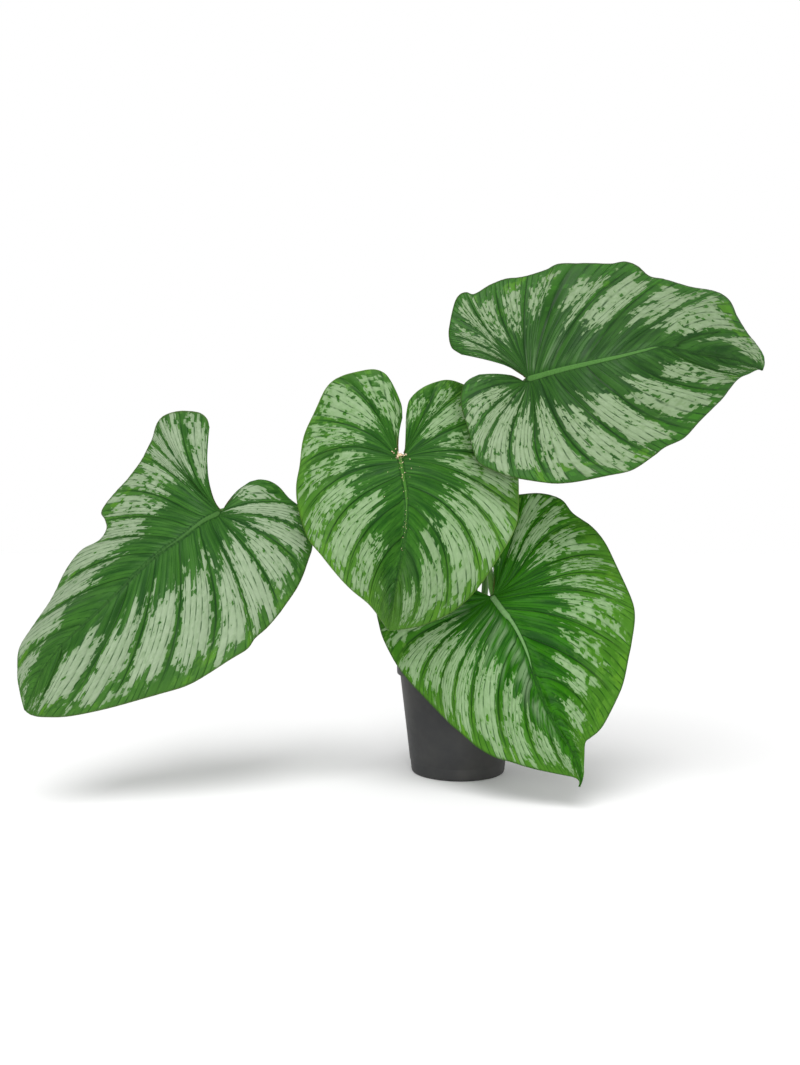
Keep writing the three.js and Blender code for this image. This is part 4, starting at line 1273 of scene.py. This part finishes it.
rim_foot = POT_HEIGHT - RIM_HEIGHT
rim_radius = POT_MOUTH_RADIUS + RIM_WIDTH
mouth = POT_MOUTH_RADIUS - POT_WALL
pot = turn_outline("plain_pot", [
    (0, 0), (80, 0), (86, 0), (88.5, 0.8), (89.8, 2.4), (pot_radius(6), 6), (pot_radius(22), 22),
    (pot_radius(23), 23), (pot_radius(24) + 0.8, 24.4), (pot_radius(80) + 0.6, 80),
    (pot_radius(140) + 0.6, 140), (pot_radius(rim_foot - 3) + 0.6, rim_foot - 3),
    (pot_radius(rim_foot) + 0.9, rim_foot), (rim_radius - 1.4, rim_foot + 0.6),
    (rim_radius - 0.4, rim_foot + 2), (rim_radius, POT_HEIGHT - 4),
    (rim_radius - 0.7, POT_HEIGHT - 1.4), (rim_radius - 2.4, POT_HEIGHT - 0.2),
    (mouth + 2, POT_HEIGHT), (mouth + 0.6, POT_HEIGHT - 0.8), (mouth, POT_HEIGHT - 3),
    (mouth - 2, 180), (pot_radius(6) - POT_WALL, 6), (pot_radius(4) - POT_WALL - 2, POT_WALL + 0.4),
    (0, POT_WALL),
])

# %% Drain holes
bpy.ops.object.select_all(action="DESELECT")
drills = []
for hole in range(DRAIN_HOLES):
    turn = hole / DRAIN_HOLES * 2 * math.pi
    place = (DRAIN_RING * MM * math.cos(turn), DRAIN_RING * MM * math.sin(turn), 0)
    bpy.ops.mesh.primitive_cylinder_add(
        vertices=32, radius=DRAIN_RADIUS * MM, depth=4 * POT_WALL * MM, location=place,
    )
    drills.append(bpy.context.object)
select_only(drills[-1], *drills)
bpy.ops.object.join()
drill = bpy.context.object
apply_modifier(pot, "BOOLEAN", object=drill, operation="DIFFERENCE", solver="EXACT")
select_only(drill)
bpy.ops.object.delete()
select_only(pot)
bpy.ops.object.shade_smooth_by_angle(angle=POT_EDGE)
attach(pot, "root")
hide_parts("pot")
print("pot triangles", triangles(pot))

# %% [markdown]
# The soil is a coarse mix. A turned plug with a rough top fills the pot, and chips of bark and
# white grains of perlite lie on it. A chip starts as a small box and a grain as a small ball. Each
# is dented and stretched by chance, so no two are alike, and has only a few faces.

# %% Soil
SOIL_EDGE = 181  # mm, its height at the wall
SOIL_MIDDLE = 185
SOIL_RADIUS = 108
SOIL_GAP = 0.4  # between the soil and the wall
SOIL_TOP = 0.179  # m, over which a vertex belongs to the rough top
ROUGH_EDGE = 4  # mm over which the roughness fades toward the wall


def soil_height(radius):
    return SOIL_EDGE + (SOIL_MIDDLE - SOIL_EDGE) * (1 - (radius / SOIL_RADIUS) ** 2)


soil_rings = [(0, 3.4), (60, 3.4), (pot_radius(4) - POT_WALL - 3, 4.5)]
for height in (40, 90, 140, 178):
    soil_rings.append((pot_radius(height) - POT_WALL - SOIL_GAP, height))
soil_rings += [(radius, soil_height(radius)) for radius in np.linspace(107.2, 0, 40)]
soil = turn_outline("soil_plug", soil_rings, 112)
for vertex in soil.data.vertices:
    if vertex.co.z > SOIL_TOP:
        x, y = vertex.co.x / MM, vertex.co.y / MM
        rough = 1.1 * wander(x / 14, y / 14, 31) + 0.8 * wander(x / 6, y / 6, 32)
        fade = min(1, (SOIL_RADIUS - math.hypot(x, y)) / ROUGH_EDGE)
        vertex.co.z += float(rough) * MM * fade
select_only(soil)
bpy.ops.object.shade_smooth()
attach(soil, "root")
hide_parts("soil")

# %% Lumps


def add_lump(rng, kind, size, place, uneven, lengths, flatness):
    """A chip or a grain, dented and stretched by chance. Its turn is left to the caller."""
    if kind == "chip":
        bpy.ops.mesh.primitive_cube_add(size=size, location=place)
    else:
        bpy.ops.mesh.primitive_ico_sphere_add(subdivisions=2, radius=size / 2, location=place)
    lump = bpy.context.object
    for vertex in lump.data.vertices:
        vertex.co *= 1 + rng.uniform(-uneven, uneven)
    lump.scale = (rng.uniform(*lengths), rng.uniform(0.7, 1.1), rng.uniform(*flatness))
    return lump


def join_lumps(name, lumps):
    """Writes each lump's place into its mesh, and joins all of them in one piece."""
    select_only(lumps[0], *lumps)
    bpy.ops.object.transform_apply(location=True, rotation=True, scale=True)
    bpy.ops.object.join()
    pile = bpy.context.object
    pile.name = name
    return pile


def finish_pile(pile, lumps):
    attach(pile, "root")
    print(pile.name, len(lumps), "lumps, triangles", triangles(pile))
    return pile


# %% Bark and perlite
STREWN_RADIUS = 104  # mm
LIFT = 0.6  # mm, of a lump's middle over the soil
TILT = 0.3  # radians
CHIP_BEVEL = 0.5  # mm
LUMP_EDGE = math.radians(40)


def scatter(name, kind, count, sizes, flatness, seed):
    """Strews small lumps over the soil."""
    rng = np.random.default_rng(seed)
    lumps = []
    for _ in range(count):
        reach = STREWN_RADIUS * math.sqrt(rng.uniform())
        turn = rng.uniform(0, 2 * math.pi)
        size = rng.uniform(*sizes) * MM
        height = soil_height(reach) + LIFT
        place = (reach * MM * math.cos(turn), reach * MM * math.sin(turn), height * MM)
        lump = add_lump(rng, kind, size, place, 0.22, (1.0, 1.9), flatness)
        tilt = rng.normal(0, TILT), rng.normal(0, TILT)
        lump.rotation_euler = (*tilt, rng.uniform(0, FULL_TURN))
        lumps.append(lump)
    pile = join_lumps(name, lumps)
    if kind == "chip":
        apply_modifier(pile, "BEVEL", width=CHIP_BEVEL * MM, segments=1)
    bpy.ops.object.shade_smooth_by_angle(angle=LUMP_EDGE)
    return finish_pile(pile, lumps)


bark = scatter("bark_chips", "chip", 240, (5, 11), (0.3, 0.55), 41)
perlite = scatter("perlite", "grain", 110, (2.2, 4.6), (0.6, 0.9), 42)

# %% [markdown]
# A few crumbs of the mix cling to the middle leaf, where its two lobes meet at the stalk and
# along its midrib.

# %% Crumbs on the middle leaf
CRUMB_LIFT = 0.25  # of a crumb's size, from the skin to its middle


def spot_on_leaf(blade, across, vein):
    """A place and the surface's direction on a blade's upper side."""
    column = int(np.argmin(np.abs(column_places() - across)))
    row = int(round(vein / VEINS * ROWS))
    vertex = blade.data.vertices[row * len(column_places()) + column]
    return vertex.co.copy(), vertex.normal.copy()


def strew_crumbs(name, spots, sizes, seed):
    rng = np.random.default_rng(seed)
    crumbs = []
    for across, vein in spots:
        place, normal = spot_on_leaf(blades["middle"], across, vein)
        size = rng.uniform(*sizes) * MM
        crumb = add_lump(rng, "grain", size, place, 0.25, (0.8, 1.6), (0.5, 0.8))
        crumb.rotation_euler = rng.uniform(0, FULL_TURN, 3)
        crumb.location = place + normal * size * CRUMB_LIFT
        crumbs.append(crumb)
    pile = join_lumps(name, crumbs)
    bpy.ops.object.shade_smooth()
    return finish_pile(pile, crumbs)


crumb_rng = np.random.default_rng(51)
notch_spots = [(crumb_rng.normal(-0.06, 0.09), crumb_rng.uniform(0, 2.4)) for _ in range(40)]
midrib_spots = [(crumb_rng.normal(0, 0.1), crumb_rng.uniform(3, 9.2)) for _ in range(60)]
notch_crumbs = strew_crumbs("notch_crumbs", notch_spots, (1.4, 4.0), 52)
midrib_crumbs = strew_crumbs("midrib_crumbs", midrib_spots, (0.7, 1.6), 53)

# %% [markdown]
# The other finishes. A stalk is green with fine streaks along it, which follow the tube's own
# layout. The stem is browner and corky at its rings. Bark, perlite and the plastic of the pot
# read their place on the object.

# %% Helpers for the other finishes


class Coat(Recipe):
    """The finish of one or more whole pieces."""

    def __init__(self, name, *pieces):
        material = bpy.data.materials.new(name)
        for piece in pieces:
            piece.data.materials.clear()
            piece.data.materials.append(material)
        super().__init__(material)

    def along_tube(self, around, along, detail):
        """Noise that runs round a tube without a seam."""
        wrap = self.split(self.add("UVMap", uv_map="wrap"))
        turn = self.times(wrap["X"], 2 * math.pi)
        ring = [self.times(self.calc(side, turn), around) for side in ("SINE", "COSINE")]
        return self.noise(self.triple(*ring, self.times(wrap["Y"], along)), 1.0, detail)

    def in_place(self, scale, detail, roughness=0.5, stretch=(1, 1, 1)):
        """Noise in the piece's own space."""
        place = self.add("TexCoord", output="Object")
        if stretch != (1, 1, 1):
            place = self.add("Mapping", {"Vector": place, "Scale": stretch})
        return self.noise(place, scale, detail, roughness)

    def two_tone(self, pattern, low, high, first, second):
        return self.blend(self.ramp(pattern, low, high), paint(*first), paint(*second))

    def patches(self, pattern, low, high, strength, under, tone):
        return self.blend(self.ramp(pattern, low, high, 0.0, strength), under, paint(*tone))


# %% Stalks, stem, sheath and roots
coat = Coat("leaf stalk", *stalks.values())
streaks = coat.along_tube(9.0, 1.4, 4.0)
specks = coat.along_tube(14.0, 26.0, 2.0)
color = coat.two_tone(streaks, 0.35, 0.65, (56, 104, 34), (96, 142, 62))
color = coat.patches(specks, 0.66, 0.72, 0.6, color, (150, 178, 120))
coat.finish(color, 0.42, coat.bump(streaks, 0.0006, 0.5), shine=0.35)

coat = Coat("creeping stem", stem)
bands = coat.along_tube(1.5, 18.0, 4.0)
cork = coat.along_tube(4.0, 6.0, 5.0)
color = coat.two_tone(cork, 0.4, 0.62, (84, 104, 48), (132, 118, 76))
color = coat.patches(bands, 0.52, 0.7, 0.7, color, (92, 74, 50))
coat.finish(color, 0.6, coat.bump(coat.calc("ADD", bands, cork), 0.0012, 0.6), shine=0.3)

coat = Coat("young sheath", tip)
streaks = coat.along_tube(7.0, 1.5, 3.0)
along = coat.split(coat.add("UVMap", uv_map="wrap"))["Y"]
color = coat.two_tone(streaks, 0.35, 0.65, (112, 146, 66), (158, 180, 104))
color = coat.patches(along, 0.7, 1.15, 0.8, color, (150, 104, 74))
coat.finish(color, 0.4, coat.bump(streaks, 0.0004, 0.5), shine=0.35)

coat = Coat("root skin", *roots)
streaks = coat.along_tube(3.0, 10.0, 4.0)
color = coat.two_tone(streaks, 0.35, 0.65, (122, 98, 66), (176, 152, 112))
coat.finish(color, 0.8, coat.bump(streaks, 0.0008, 0.6), shine=0.2)

# %% Pot, soil and what lies on it
coat = Coat("pot plastic", pot)
scuff = coat.in_place(90.0, 6.0, 0.7)
dust = coat.in_place(9.0, 4.0, 0.6)
color = coat.patches(dust, 0.35, 0.75, 0.7, paint(38, 39, 40), (62, 61, 58))
coat.finish(color, coat.times_add(scuff, 0.25, 0.42), coat.bump(scuff, 0.0003, 0.4), shine=0.4)

coat = Coat("soil fines", soil)
fines = coat.in_place(260.0, 5.0, 0.7)
color = coat.two_tone(fines, 0.3, 0.7, (34, 24, 17), (86, 62, 42))
coat.finish(color, 0.95, coat.bump(fines, 0.003), shine=0.2)

coat = Coat("bark", bark)
layers = coat.in_place(150.0, 4.0, 0.6, stretch=(1, 1, 6))
color = coat.two_tone(layers, 0.3, 0.7, (70, 44, 26), (138, 94, 58))
color = coat.patches(coat.in_place(60.0, 2.0), 0.4, 0.62, 0.7, color, (58, 40, 28))
coat.finish(color, 0.85, coat.bump(layers, 0.0015, 0.8), shine=0.2)

coat = Coat("perlite grains", perlite)
pores = coat.in_place(900.0, 3.0, 0.6)
color = coat.two_tone(pores, 0.35, 0.6, (196, 190, 176), (232, 228, 218))
coat.finish(color, 0.9, coat.bump(pores, 0.0006, 0.7), shine=0.2)

coat = Coat("crumbs", notch_crumbs, midrib_crumbs)
grit = coat.in_place(700.0, 3.0, 0.6)
color = coat.two_tone(grit, 0.35, 0.62, (150, 118, 80), (226, 210, 178))
coat.finish(color, 0.9, coat.bump(grit, 0.0006, 0.7), shine=0.2)

# %% [markdown]
# The plant stands in a bright white room, as a plant in a catalogue does. Pale air lights it from
# all round, a wide sun stands high on the camera's side and a little to the left, and a soft disk
# in front fills the shadows. The camera sees the air as pure white, and the floor is lit to the
# same white, so no line shows between them.

# %% Floor, light and air
AIR_LIGHT = 0.62
FLOOR_SIZE = 40  # m
SUN_STRENGTH = 2.0
SUN_SOFTNESS = math.radians(35)
SUN_WAY = (0.15, 0.65, -0.95)
KEY_PLACE = (0.1, -2.3, 0.5)  # m
KEY_TARGET = (0, -0.15, 0.55)
KEY_SIZE = 0.8
KEY_POWER = 22  # W
bpy.ops.object.select_all(action="DESELECT")
bpy.ops.mesh.primitive_plane_add(size=FLOOR_SIZE, location=(0, 0, 0))
floor = bpy.context.object
floor.name = "floor"
Coat("pale floor", floor).finish(paint(244, 244, 244), 0.9)

world = bpy.data.worlds.new("pale air")
bpy.context.scene.world = world
world.use_nodes = True
air = world.node_tree
backdrop = air.nodes["Background"]
backdrop.inputs["Color"].default_value = (1, 1, 1, 1)
seen = air.nodes.new("ShaderNodeLightPath").outputs["Is Camera Ray"]
strength = air.nodes.new("ShaderNodeMapRange")
strength.inputs["To Min"].default_value = AIR_LIGHT
strength.inputs["To Max"].default_value = 1.0
air.links.new(seen, strength.inputs["Value"])
air.links.new(strength.outputs[0], backdrop.inputs["Strength"])


def add_light(name, kind, place, way, energy):
    """Adds a light at a place in metres, which shines the given way."""
    bpy.ops.object.light_add(type=kind, location=place)
    light = bpy.context.object
    light.name = name
    light.data.energy = energy
    light.rotation_euler = Vector(way).to_track_quat("-Z", "Y").to_euler()
    return light


sun = add_light("bright window", "SUN", (0, 0, 3), SUN_WAY, SUN_STRENGTH)
sun.data.angle = SUN_SOFTNESS
key = add_light("soft key", "AREA", KEY_PLACE, Vector(KEY_TARGET) - Vector(KEY_PLACE), KEY_POWER)
key.data.shape = "DISK"
key.data.size = KEY_SIZE
bpy.context.scene.view_settings.view_transform = "Standard"
print("lights", sun.name, key.name, "and air", AIR_LIGHT)
